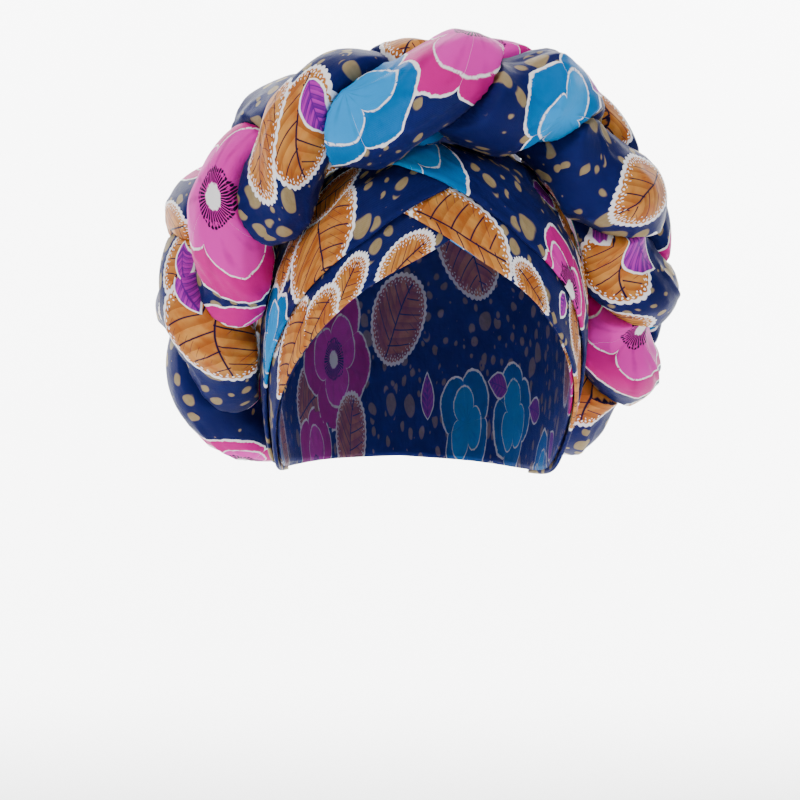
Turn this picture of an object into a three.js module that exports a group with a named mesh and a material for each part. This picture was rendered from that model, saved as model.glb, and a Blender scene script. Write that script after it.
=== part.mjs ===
// A ready-wrapped turban cap: a soft cloth crown, four crossed folds of cloth over the forehead,
// and a thick padded plait of three stuffed tubes that rings the head. The plait starts at the
// nape, climbs behind the ears, passes over the front of the top and comes down to the nape again.
// Millimetres, +Z up. The wearer faces -Y and +X is the wearer's left. The origin is the middle
// of the head hollow at brow level, where the head is widest.
import * as THREE from "three";

// The head hollow that the cap is stretched over
const HEAD_BREADTH = 156;
const HEAD_LENGTH = 196;
const HEAD_RISE = 94; // brow level up to the top of the hollow
const HEAD_DROP = 152; // brow level down to where the narrowing hollow would close
const LEVEL_SQUARENESS = 2.2; // of the outline seen from above: 2 is an ellipse, more is fuller
const RISE_SQUARENESS = 2.7; // of the upright outline above brow level
const DROP_SQUARENESS = 2.2; // and below it

// Cloth
const CROWN_WALL = 1.6;
const FOLD_WALL = 1.6;
const LAYER_GAP = 0.9; // between one layer of cloth and the next
const FOLD_OVERHANG = 1.5; // how far the lower folds reach below the crown's rim
const NARROWEST_FOLD = 5; // degrees of climb that an upper fold spans at the least
const FOLD_END_TURN = 126; // the folds end behind the ears, under the plait
const RAMP_START = 11; // an upper fold stays lifted this far past the edge of a lower one
const RAMP_END = 26; // and lies on the crown again from here on

// Plait
const STRAND_DIAMETER = 46; // of one stuffed tube where nothing presses on it
const STRAND_GAP = 0.7; // between two tubes that press on each other
const PLAIT_SWING = 22; // how far a tube's middle swings to either side of the plait's middle
const PLAIT_LIFT = 7.5; // how far it rises and dips on the way
const PLAIT_DROOP = 7.5; // how far a tube sinks towards the head at the edges of the plait
const PLAIT_SLOPE = 0.045; // share of HEAD_RISE that it sits lower on the wearer's right
const SEAT_ROUNDNESS = 130; // radius of the hollow that the head presses into the plait
const SEAT_REACH = 30; // that hollow is fitted to the cloth this far to either side
const SEAT_CLEARANCE = 0.8; // between the cloth and the tubes that sit on it
const PRESSED_SHARE = 0.81; // of a tube's depth is left where it presses on the head
const END_TAPER_LENGTH = 112; // the stuffing thins out over this much of each end
const END_TAPER_SHARE = 0.42; // thickness left at the very end, as a share of the full one
const END_ROUNDING = 9; // length of the closed, rounded end of each tube
const END_FLAT = 0.07; // share of that length that is cut off flat
const NAPE_SPLIT = 1.6; // between the two ends of the plait where they meet at the nape

// Fineness of the faceted shapes
const CROWN_COLUMNS = 36;
const CROWN_ROWS = 8;
const FOLD_COLUMNS = 30;
const FOLD_ROWS = 6;
const PLAIT_STATIONS = 118;
const STRAND_SIDES = 10;
const SEAT_SAMPLES = 4;
const SLOPE_STEP = 0.5; // the slant of a tube is measured over this length
const GRAZING = 0.01; // a ray this close to running along a face never meets it
const CORNER_ROUNDING = 11; // higher leaves a sharper corner where tubes press together

// Heights are shares of HEAD_RISE above brow level, and turns are degrees from the front centre.
// The rim climbs to a peak over the forehead, drops in front of the ears and runs level to the nape.
const RIM = [
  { turn: 0, height: 0.467 },
  { turn: 7, height: 0.387 },
  { turn: 14, height: 0.317 },
  { turn: 21, height: 0.242 },
  { turn: 28, height: 0.156 },
  { turn: 35, height: 0.0591 },
  { turn: 43, height: -0.0484 },
  { turn: 52, height: -0.167 },
  { turn: 62, height: -0.295 },
  { turn: 72, height: -0.414 },
  { turn: 82, height: -0.532 },
  { turn: 91, height: -0.645 },
  { turn: 100, height: -0.736 },
  { turn: 112, height: -0.768 },
  { turn: 130, height: -0.763 },
  { turn: 155, height: -0.731 },
  { turn: 180, height: -0.709 },
];

// The lower fold of each side, past the peak: it goes on climbing over the other side and ends
// under the upper folds. Its width is a share of HEAD_RISE too.
const LOWER_FOLD_PAST_PEAK = [
  { turn: -26, height: 0.677 },
  { turn: -20, height: 0.629 },
  { turn: -14, height: 0.58 },
  { turn: -10, height: 0.548 },
  { turn: -5, height: 0.5 },
];
const LOWER_FOLD_WIDTH = [
  { turn: -26, height: 0.215 },
  { turn: -10, height: 0.322 },
  { turn: 5, height: 0.408 },
  { turn: 60, height: 0.451 },
  { turn: 100, height: 0.365 },
  { turn: 126, height: 0.365 },
];

// The upper fold of each side: its free edge falls from high on the other side, across the
// forehead, and meets the rim below the ear.
const UPPER_FOLD_EDGE = [
  { turn: -42, height: 0.88 },
  { turn: -30, height: 0.85 },
  { turn: -22, height: 0.812 },
  { turn: -15, height: 0.776 },
  { turn: -8, height: 0.741 },
  { turn: -2, height: 0.704 },
  { turn: 4, height: 0.655 },
  { turn: 10, height: 0.602 },
  { turn: 16, height: 0.532 },
  { turn: 23, height: 0.451 },
  { turn: 31, height: 0.36 },
  { turn: 40, height: 0.247 },
  { turn: 49, height: 0.129 },
  { turn: 58, height: 0 },
  { turn: 68, height: -0.124 },
  { turn: 78, height: -0.258 },
  { turn: 88, height: -0.43 },
  { turn: 98, height: -0.623 },
  { turn: 110, height: -0.731 },
  { turn: 126, height: -0.731 },
];

// Where the plait's middle sits on the head, from over the forehead round to the nape, and how many
// degrees it leans there towards the face from standing straight off the head.
const PLAIT_SEAT = [
  { turn: 0, height: 0.92, lean: -24 },
  { turn: 30, height: 0.91, lean: -19 },
  { turn: 56, height: 0.82, lean: -6 },
  { turn: 80, height: 0.57, lean: 5 },
  { turn: 100, height: 0.27, lean: 9 },
  { turn: 117, height: -0.05, lean: 9 },
  { turn: 134, height: -0.29, lean: 6 },
  { turn: 156, height: -0.43, lean: 0 },
  { turn: 180, height: -0.46, lean: 0 },
];

// The tube that bulges at the plait's front edge changes from one lobe to the next. Each row is a
// lobe, and place is its middle as a share of the plait's length, from the wearer's right end.
const LOBES = [
  { lobe: "right_nape", place: 0.03 },
  { lobe: "right_behind_ear", place: 0.127 },
  { lobe: "right_ear", place: 0.229 },
  { lobe: "right_temple", place: 0.318 },
  { lobe: "right_upper", place: 0.402 },
  { lobe: "top", place: 0.479 },
  { lobe: "left_upper", place: 0.547 },
  { lobe: "left_temple", place: 0.619 },
  { lobe: "left_ear", place: 0.696 },
  { lobe: "left_lower", place: 0.774 },
  { lobe: "left_behind_ear", place: 0.858 },
  { lobe: "left_nape", place: 0.95 },
];

const STRANDS = [
  { name: "plait_strand_a", colour: 0xc83c96, firstLobe: 0 },
  { name: "plait_strand_b", colour: 0x27306b, firstLobe: 1 },
  { name: "plait_strand_c", colour: 0xb5722e, firstLobe: 2 },
];

// Lower folds lie under upper ones, and the wearer's right under the left
const FOLDS = [
  { name: "lower_fold_right", side: -1, upper: false, colour: 0xb5722e },
  { name: "lower_fold_left", side: 1, upper: false, colour: 0xc08a45 },
  { name: "upper_fold_right", side: -1, upper: true, colour: 0x2a3470 },
  { name: "upper_fold_left", side: 1, upper: true, colour: 0x2d6fa8 },
];

const radians = THREE.MathUtils.degToRad;
const smooth = (value, low, high) => THREE.MathUtils.smoothstep(value, low, high);

// A smooth curve through one column of a table, read at any turn between its ends.
function valueAt(rows, turn, column = "height") {
  const last = rows.length - 1;
  const at = THREE.MathUtils.clamp(turn, rows[0].turn, rows[last].turn);
  const next = rows.findIndex((row, n) => n > 0 && at <= row.turn);
  const slope = (n) => {
    const before = rows[Math.max(n - 1, 0)];
    const after = rows[Math.min(n + 1, last)];
    return (after[column] - before[column]) / (after.turn - before.turn);
  };
  const from = rows[next - 1];
  const to = rows[next];
  const span = to.turn - from.turn;
  const t = (at - from.turn) / span;
  const bend = t * (1 - t) ** 2 * slope(next - 1) - t * t * (1 - t) * slope(next);
  return THREE.MathUtils.lerp(from[column], to[column], t * t * (3 - 2 * t)) + span * bend;
}

// The hollow is a rounded box. Its level outline is |x/a|^p + |y/b|^p = s^p with p the level
// squareness, and s shrinks with height as s^n + |z/c|^n = 1 with n the squareness of rise or drop.
const halfBreadth = HEAD_BREADTH / 2;
const halfLength = HEAD_LENGTH / 2;
const depthOn = (side) => (side < 0 ? HEAD_DROP : HEAD_RISE);
const squarenessOn = (side) => (side < 0 ? DROP_SQUARENESS : RISE_SQUARENESS);

// The climb, in degrees from brow level to the top, that reaches a height in shares of HEAD_RISE.
function climbTo(height) {
  const share = Math.min(Math.abs(height * HEAD_RISE) / depthOn(height), 1);
  const climb = Math.asin(share ** (squarenessOn(height) / 2));
  return Math.sign(height) * THREE.MathUtils.radToDeg(climb);
}

// The outward direction of the hollow's surface at a point of it.
function outward(point) {
  const p = LEVEL_SQUARENESS;
  const n = squarenessOn(point.z);
  const level = Math.abs(point.x / halfBreadth) ** p + Math.abs(point.y / halfLength) ** p;
  const rest = level > 0 ? level ** (n / p - 1) : 0;
  const steepness = (value, half, power) =>
    (Math.sign(value) * Math.abs(value / half) ** (power - 1)) / half;
  return new THREE.Vector3(
    rest * steepness(point.x, halfBreadth, p),
    rest * steepness(point.y, halfLength, p),
    steepness(point.z, depthOn(point.z), n),
  ).normalize();
}

// The point `lift` millimetres outside the hollow's surface, at a turn and a climb in degrees.
function overHead(turn, climb, lift) {
  const p = LEVEL_SQUARENESS;
  const n = squarenessOn(climb);
  const sine = Math.sin(radians(turn));
  const cosine = Math.cos(radians(turn));
  const outline =
    (Math.abs(sine / halfBreadth) ** p + Math.abs(cosine / halfLength) ** p) ** (-1 / p);
  const level = outline * Math.max(Math.cos(radians(climb)), 0) ** (2 / n);
  const height = Math.sign(climb) * Math.abs(Math.sin(radians(climb))) ** (2 / n) * depthOn(climb);
  const point = new THREE.Vector3(level * sine, -level * cosine, height);
  return point.addScaledVector(outward(point), lift);
}

const turnOf = (point) => THREE.MathUtils.radToDeg(Math.atan2(point.x, -point.y));

// A closed BufferGeometry from points and triangles.
function solid(points, triangles) {
  const geometry = new THREE.BufferGeometry();
  geometry.setAttribute(
    "position",
    new THREE.Float32BufferAttribute(points.flatMap((p) => p.toArray()), 3),
  );
  geometry.setIndex(triangles.flat());
  geometry.computeVertexNormals();
  return geometry;
}

// Two triangles for a four-cornered face whose corners run anticlockwise seen from outside.
const face = (a, b, c, d) => [
  [a, b, c],
  [a, c, d],
];

// The crown: an outer and an inner dome, each of rings that climb from the rim to the top, joined
// along the rim.
function crownGeometry() {
  const points = [];
  const triangles = [];
  const ring = (layer, row) => (layer * CROWN_ROWS + row) * CROWN_COLUMNS;
  for (const lift of [CROWN_WALL, 0]) {
    for (let row = 0; row < CROWN_ROWS; row += 1) {
      for (let column = 0; column < CROWN_COLUMNS; column += 1) {
        const turn = (column / CROWN_COLUMNS) * 360 - 180;
        const rim = climbTo(valueAt(RIM, Math.abs(turn)));
        points.push(overHead(turn, rim + ((90 - rim) * row) / CROWN_ROWS, lift));
      }
    }
  }
  const outerTop = points.push(overHead(0, 90, CROWN_WALL)) - 1;
  const innerTop = points.push(overHead(0, 90, 0)) - 1;
  for (let column = 0; column < CROWN_COLUMNS; column += 1) {
    const next = (column + 1) % CROWN_COLUMNS;
    for (let row = 0; row + 1 < CROWN_ROWS; row += 1) {
      const outer = ring(0, row);
      const outerUp = ring(0, row + 1);
      const inner = ring(1, row);
      const innerUp = ring(1, row + 1);
      triangles.push(...face(outer + column, outer + next, outerUp + next, outerUp + column));
      triangles.push(...face(inner + next, inner + column, innerUp + column, innerUp + next));
    }
    const last = CROWN_ROWS - 1;
    triangles.push([ring(0, last) + column, ring(0, last) + next, outerTop]);
    triangles.push([ring(1, last) + next, ring(1, last) + column, innerTop]);
    triangles.push(...face(ring(1, 0) + column, ring(1, 0) + next, next, column));
  }
  return solid(points, triangles);
}

// The free edge and the hidden upper edge of a fold, as climbs, at a turn counted towards its own side.
function foldEdges(fold, ownTurn) {
  if (fold.upper) {
    const edge = climbTo(valueAt(UPPER_FOLD_EDGE, ownTurn));
    const seat = climbTo(valueAt(PLAIT_SEAT, Math.abs(ownTurn)));
    return { edge, top: Math.max(seat, edge + NARROWEST_FOLD) };
  }
  const rimHeight = valueAt(RIM, Math.max(ownTurn, 0)) - FOLD_OVERHANG / HEAD_RISE;
  const rows = [...LOWER_FOLD_PAST_PEAK, { turn: 0, height: rimHeight }];
  const height = ownTurn < 0 ? valueAt(rows, ownTurn) : rimHeight;
  return { edge: climbTo(height), top: climbTo(height + valueAt(LOWER_FOLD_WIDTH, ownTurn)) };
}

const firstTurn = (fold) => (fold.upper ? UPPER_FOLD_EDGE : LOWER_FOLD_PAST_PEAK)[0].turn;

// How much of a fold's thickness lifts what lies over it at a place: 1 over the fold, then down to
// 0 within the ramp round it.
function cover(fold, turn, climb) {
  const ownTurn = turn * fold.side;
  const { edge, top } = foldEdges(fold, THREE.MathUtils.clamp(ownTurn, firstTurn(fold), FOLD_END_TURN));
  const perDegree = radians((HEAD_RISE + halfLength) / 2);
  const past = (degrees) => 1 - smooth(degrees * perDegree, RAMP_START, RAMP_END);
  return (
    past(edge - climb) *
    past(climb - top) *
    past(firstTurn(fold) - ownTurn) *
    past(ownTurn - FOLD_END_TURN)
  );
}

// How far the cloth under the first `layers` folds stands off the head hollow at a place.
function layersUnder(layers, turn, climb) {
  const under = FOLDS.slice(0, layers).reduce((sum, fold) => sum + cover(fold, turn, climb), 0);
  return CROWN_WALL + LAYER_GAP + under * (FOLD_WALL + LAYER_GAP);
}

// A fold: a sheet that follows the head and whatever folds lie under it, with its own thickness.
function foldGeometry(fold, layer) {
  const points = [];
  const triangles = [];
  const perLayer = (FOLD_COLUMNS + 1) * (FOLD_ROWS + 1);
  const at = (upperFace, column, row) => upperFace * perLayer + column * (FOLD_ROWS + 1) + row;
  for (const thickness of [0, FOLD_WALL]) {
    for (let column = 0; column <= FOLD_COLUMNS; column += 1) {
      const share = column / FOLD_COLUMNS;
      const ownTurn = THREE.MathUtils.lerp(firstTurn(fold), FOLD_END_TURN, share);
      const { edge, top } = foldEdges(fold, ownTurn);
      for (let row = 0; row <= FOLD_ROWS; row += 1) {
        const turn = ownTurn * fold.side;
        const climb = THREE.MathUtils.lerp(edge, top, row / FOLD_ROWS);
        points.push(overHead(turn, climb, layersUnder(layer, turn, climb) + thickness));
      }
    }
  }
  const add = (a, b, c, d) => triangles.push(...(fold.side > 0 ? face(a, b, c, d) : face(d, c, b, a)));
  for (let column = 0; column < FOLD_COLUMNS; column += 1) {
    const next = column + 1;
    for (let row = 0; row < FOLD_ROWS; row += 1) {
      add(at(1, column, row), at(1, next, row), at(1, next, row + 1), at(1, column, row + 1));
      add(at(0, column, row), at(0, column, row + 1), at(0, next, row + 1), at(0, next, row));
    }
    const end = FOLD_ROWS;
    add(at(0, column, 0), at(0, next, 0), at(1, next, 0), at(1, column, 0));
    add(at(1, column, end), at(1, next, end), at(0, next, end), at(0, column, end));
  }
  for (let row = 0; row < FOLD_ROWS; row += 1) {
    const end = FOLD_COLUMNS;
    add(at(0, 0, row + 1), at(0, 0, row), at(1, 0, row), at(1, 0, row + 1));
    add(at(0, end, row), at(0, end, row + 1), at(1, end, row + 1), at(1, end, row));
  }
  return solid(points, triangles);
}

// The plait's middle line on the head, evenly spaced from the nape over the wearer's right side to
// the nape again, with the outward direction of the head and the height that clears all cloth.
function plaitSeat() {
  const mirrored = PLAIT_SEAT.slice(1).map((row) => ({ ...row, turn: -row.turn }));
  const rows = [...mirrored.reverse(), ...PLAIT_SEAT];
  const slope = (turn) => PLAIT_SLOPE * Math.sin(radians(turn));
  const line = rows.map((row) => overHead(row.turn, climbTo(row.height + slope(row.turn)), 0));
  const curve = new THREE.CatmullRomCurve3(line, false, "centripetal");
  const length = curve.getLength();
  const margin = NAPE_SPLIT / 2 / length;
  const stations = [];
  for (let i = 0; i <= PLAIT_STATIONS; i += 1) {
    const share = THREE.MathUtils.lerp(margin, 1 - margin, i / PLAIT_STATIONS);
    const along = curve.getTangentAt(share);
    const nearby = curve.getPointAt(share);
    const foot = overHead(turnOf(nearby), climbTo(nearby.z / HEAD_RISE), 0);
    const up = outward(foot);
    const front = new THREE.Vector3().crossVectors(along, up).normalize();
    let seat = 0;
    for (let step = -SEAT_SAMPLES; step <= SEAT_SAMPLES; step += 1) {
      const aside = (SEAT_REACH * step) / SEAT_SAMPLES;
      const below = foot.clone().addScaledVector(front, aside).setLength(foot.length());
      const turn = turnOf(below);
      const climb = climbTo(THREE.MathUtils.clamp(below.z / HEAD_RISE, -1, 1));
      const cloth = overHead(turn, climb, layersUnder(FOLDS.length, turn, climb)).sub(foot);
      seat = Math.max(seat, cloth.dot(up) + cloth.dot(front) ** 2 / (2 * SEAT_ROUNDNESS));
    }
    const lean = radians(valueAt(PLAIT_SEAT, Math.abs(turnOf(foot)), "lean"));
    stations.push({ share, foot, up, front, along, lean, seat: seat + SEAT_CLEARANCE });
  }
  return { stations, length };
}

// The plait's turn of phase at a share of its length: a third of a full turn for each lobe, and a
// quarter turn where a tube is at the front edge.
function phaseAt(share) {
  const rows = LOBES.map((row, n) => ({ turn: row.place, height: n }));
  const first = rows[1].turn - rows[0].turn;
  const last = rows[rows.length - 1].turn - rows[rows.length - 2].turn;
  let lobes = valueAt(rows, share);
  if (share < rows[0].turn) lobes = (share - rows[0].turn) / first;
  if (share > rows[rows.length - 1].turn) {
    lobes = rows.length - 1 + (share - rows[rows.length - 1].turn) / last;
  }
  return (lobes * 2 * Math.PI) / STRANDS.length;
}

// Where the middles of the three tubes lie in the plait's section: towards the front edge, and away
// from the head.
function tubeMiddles(share, taper) {
  return STRANDS.map((strand) => {
    const phase = phaseAt(share) + Math.PI / 2 - (strand.firstLobe * 2 * Math.PI) / STRANDS.length;
    const sway = Math.sin(phase);
    const rise = -PLAIT_LIFT * Math.sin(2 * phase) - PLAIT_DROOP * sway ** 2;
    return new THREE.Vector2(PLAIT_SWING * sway, rise).multiplyScalar(taper);
  });
}

// The flat faces that a tube shares with its neighbours, as distances from its middle: here, and
// halfway to the stations before and after.
function pressedFaces(index, middle, share, taper) {
  return [-0.5, 0, 0.5].flatMap((steps) => {
    const middles = tubeMiddles(share + steps / PLAIT_STATIONS, taper);
    return middles.filter((_, n) => n !== index).map((other) => {
      const towards = other.clone().sub(middles[index]).normalize();
      const halfway = other.clone().add(middles[index]).multiplyScalar(0.5).sub(middle);
      return { towards, distance: halfway.dot(towards) - STRAND_GAP / 2 };
    });
  });
}

// How far a ray from a tube's middle runs before it meets the cloth that the plait sits on, whose
// height falls away from `floor` to both sides.
function reachToSeat(middle, ray, floor) {
  const fall = ray.x ** 2 / (2 * SEAT_ROUNDNESS);
  const slope = ray.y + (middle.x * ray.x) / SEAT_ROUNDNESS;
  const clearance = middle.y - floor + middle.x ** 2 / (2 * SEAT_ROUNDNESS);
  const inside = slope ** 2 - 4 * fall * clearance;
  return slope < 0 && inside > 0 ? (2 * clearance) / (-slope + Math.sqrt(inside)) : Infinity;
}

// One stuffed tube of the plait. At every station the three tubes share the plait's section: each
// is round until it meets the flat faces halfway to its neighbours, or the cloth it sits on.
function strandGeometry(index, { stations, length }) {
  const points = [];
  const triangles = [];
  const step = SLOPE_STEP / length;
  stations.forEach(({ share, foot, up, front, along, lean, seat }) => {
    const fromEnd = Math.min(share, 1 - share) * length - NAPE_SPLIT / 2;
    const taper = THREE.MathUtils.lerp(END_TAPER_SHARE, 1, smooth(fromEnd, 0, END_TAPER_LENGTH));
    const rounding = THREE.MathUtils.clamp(fromEnd / END_ROUNDING, END_FLAT, 1);
    const radius = (STRAND_DIAMETER / 2) * taper;
    const middles = tubeMiddles(share, taper);
    const middle = middles[index];
    const ahead = tubeMiddles(share + step, taper)[index];
    const slant = Math.hypot(1, ahead.distanceTo(middle) / (step * length));
    const faces = pressedFaces(index, middle, share, taper);
    const floor = -(PLAIT_LIFT * taper + radius) * PRESSED_SHARE;
    const tilt = new THREE.Quaternion().setFromAxisAngle(along, lean * taper);
    const across = front.clone().applyQuaternion(tilt);
    const raise = up.clone().applyQuaternion(tilt);
    const centre = foot.clone().addScaledVector(up, seat - floor);
    for (let side = 0; side < STRAND_SIDES; side += 1) {
      const angle = (2 * Math.PI * side) / STRAND_SIDES;
      const ray = new THREE.Vector2(Math.cos(angle), Math.sin(angle));
      const limits = [1 / Math.hypot(ray.x / (radius * slant), ray.y / radius)];
      for (const face of faces) {
        const facing = ray.dot(face.towards);
        if (facing > GRAZING) limits.push(face.distance / facing);
      }
      const level = new THREE.Vector2(
        ray.x * across.dot(front) + ray.y * raise.dot(front),
        ray.x * across.dot(up) + ray.y * raise.dot(up),
      );
      const levelMiddle = new THREE.Vector2(
        middle.x * across.dot(front) + middle.y * raise.dot(front),
        middle.x * across.dot(up) + middle.y * raise.dot(up),
      );
      const rounded = limits.reduce((sum, limit) => sum + limit ** -CORNER_ROUNDING, 0);
      const pressed = Math.min(rounded ** (-1 / CORNER_ROUNDING), reachToSeat(levelMiddle, level, floor));
      const reach = pressed * Math.sqrt(1 - (1 - rounding) ** 2);
      points.push(
        centre.clone()
          .addScaledVector(across, middle.x + ray.x * reach)
          .addScaledVector(raise, middle.y + ray.y * reach),
      );
    }
  });
  const rings = stations.length;
  for (let ring = 0; ring + 1 < rings; ring += 1) {
    for (let side = 0; side < STRAND_SIDES; side += 1) {
      const next = (side + 1) % STRAND_SIDES;
      const here = ring * STRAND_SIDES;
      const there = here + STRAND_SIDES;
      triangles.push(...face(here + side, there + side, there + next, here + next));
    }
  }
  for (const [ring, turnRound] of [[0, false], [rings - 1, true]]) {
    const first = ring * STRAND_SIDES;
    const middle = new THREE.Vector3();
    for (let side = 0; side < STRAND_SIDES; side += 1) {
      middle.addScaledVector(points[first + side], 1 / STRAND_SIDES);
    }
    const hub = points.push(middle) - 1;
    for (let side = 0; side < STRAND_SIDES; side += 1) {
      const next = (side + 1) % STRAND_SIDES;
      triangles.push(turnRound ? [hub, first + next, first + side] : [hub, first + side, first + next]);
    }
  }
  return solid(points, triangles);
}

function addPiece(group, name, geometry, colour) {
  const material = new THREE.MeshStandardMaterial({ color: colour, roughness: 0.62, metalness: 0 });
  const mesh = new THREE.Mesh(geometry, material);
  mesh.name = name;
  group.add(mesh);
}

const turbanCap = new THREE.Group();
addPiece(turbanCap, "crown", crownGeometry(), 0x262f66);
FOLDS.forEach((fold, layer) => {
  addPiece(turbanCap, fold.name, foldGeometry(fold, layer), fold.colour);
});
const seat = plaitSeat();
STRANDS.forEach((strand, index) => {
  addPiece(turbanCap, strand.name, strandGeometry(index, seat), strand.colour);
});

export default turbanCap;
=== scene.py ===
"""A ready-wrapped turban cap of printed cotton, in its worn form.

A soft crown covers the head, four crossed folds lie over the forehead, and a thick plait of three
stuffed tubes rings the head. Sizes are in millimetres and the meshes are put down in metres: +Z is
up, the wearer faces -Y, and +X is the wearer's left.
"""

import enum
import logging
import math
from dataclasses import dataclass, fields

import bpy
import numpy as np
from mathutils import Matrix


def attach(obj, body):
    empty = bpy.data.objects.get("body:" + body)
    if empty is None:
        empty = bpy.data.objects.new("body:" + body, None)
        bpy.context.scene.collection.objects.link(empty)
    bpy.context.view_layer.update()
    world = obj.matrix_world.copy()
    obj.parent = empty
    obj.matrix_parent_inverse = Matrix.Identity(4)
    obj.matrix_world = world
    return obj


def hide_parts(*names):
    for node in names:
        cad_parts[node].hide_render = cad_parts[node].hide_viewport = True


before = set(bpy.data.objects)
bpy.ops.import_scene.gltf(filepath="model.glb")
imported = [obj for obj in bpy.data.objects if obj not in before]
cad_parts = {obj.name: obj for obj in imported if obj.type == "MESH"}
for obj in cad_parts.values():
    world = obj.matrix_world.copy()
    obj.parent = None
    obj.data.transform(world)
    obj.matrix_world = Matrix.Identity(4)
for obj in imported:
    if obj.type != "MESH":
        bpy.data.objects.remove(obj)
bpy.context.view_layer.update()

Array = np.ndarray
METRES = 0.001
# Where a corner without a motif is put in the motif's frame, in millimetres
FAR_AWAY = 900.0
# How far past its reach a motif is still looked for, because its outline is uneven
MOTIF_SEARCH = 1.32
# A length that no ray comes near, in millimetres
NO_LIMIT = 1e4
log = logging.getLogger("turban_cap")


def ease(value: Array | float, low: float, high: float) -> Array:
    """Rises from 0 at low to 1 at high as 3t^2 - 2t^3."""
    t = np.clip((np.asarray(value, float) - low) / (high - low), 0, 1)
    return t * t * (3 - 2 * t)


def lerp(start: Array | float, end: Array | float, share: Array | float) -> Array:
    """The value at a share of the way from start to end."""
    return start + (end - start) * share


def unit(vectors: Array) -> Array:
    """The same directions with a length of 1."""
    return vectors / np.maximum(np.linalg.norm(vectors, axis=-1, keepdims=True), 1e-9)


def dot(a: Array, b: Array) -> Array:
    """The product of two rows of vectors, one number for each pair."""
    return (a * b).sum(axis=-1)


def turn_of(points: Array) -> Array:
    """Degrees round the head from the front centre, towards the wearer's left."""
    return np.degrees(np.arctan2(points[..., 0], -points[..., 1]))


def ripple(
    along: Array, across: Array, long: float, wide: float, seed: int, girth: float = 0.0
) -> Array:
    """Soft random hills between -1 and 1.

    Random heights stand at the corners of a grid of cells, and between them the height is blended
    with the smooth 3t^2 - 2t^3 both ways.

    Args:
        along: Where on the cloth, lengthways.
        across: Where on the cloth, crossways.
        long: Length of a cell.
        wide: Width of a cell.
        seed: Which random heights.
        girth: Where the cloth closes on itself crossways, its length round, else 0.

    Returns:
        The height at each place.
    """
    around = max(round(girth / wide), 1) if girth else 512
    heights = np.random.default_rng(seed).uniform(-1, 1, (512, around))
    x = np.asarray(along, float) / long + 131.0
    y = np.asarray(across, float) * (around / girth) if girth else np.asarray(across, float) / wide + 97.0
    column, row = np.floor(x).astype(int), np.floor(y).astype(int)
    fx, fy = ease(x - column, 0, 1), ease(y - row, 0, 1)

    def corner(right: int, up: int) -> Array:
        """The random height at one corner of each place's cell."""
        return heights[(column + right) % 512, (row + up) % around]

    low = lerp(corner(0, 0), corner(1, 0), fx)
    high = lerp(corner(0, 1), corner(1, 1), fx)
    return lerp(low, high, fy)


def crease(
    along: Array, across: Array, long: float, wide: float, seed: int, girth: float = 0.0
) -> Array:
    """Narrow ridges between 0 and 1: (1 - |ripple|)^3, so the ridge runs where the ripple is 0."""
    return (1 - np.abs(ripple(along, across, long, wide, seed, girth))) ** 3


@dataclass(frozen=True)
class Course:
    """A smooth curve through rows of a place and a value, with each row's slope taken from its neighbours.

    Attributes:
        rows: Pairs of place and value, in rising order of place.
    """

    rows: tuple[tuple[float, float], ...]

    def at(self, place: Array | float) -> Array:
        """The value at any place, held level past both ends.

        Between two rows it is 3t^2 - 2t^3 of the way from one value to the next, and each row's slope
        bends it by t(1 - t)^2 and -t^2(1 - t) of the distance between them.

        Args:
            place: Where along the course.

        Returns:
            One value for each place.
        """
        where, value = np.array(self.rows, float).T
        slope = np.empty_like(value)
        slope[1:-1] = (value[2:] - value[:-2]) / (where[2:] - where[:-2])
        slope[0] = (value[1] - value[0]) / (where[1] - where[0])
        slope[-1] = (value[-1] - value[-2]) / (where[-1] - where[-2])
        at = np.clip(place, where[0], where[-1])
        after = np.clip(np.searchsorted(where, at, side="left"), 1, len(where) - 1)
        before = after - 1
        span = where[after] - where[before]
        t = (at - where[before]) / span
        bend = t * (1 - t) ** 2 * slope[before] - t * t * (1 - t) * slope[after]
        return lerp(value[before], value[after], t * t * (3 - 2 * t)) + span * bend


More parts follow.
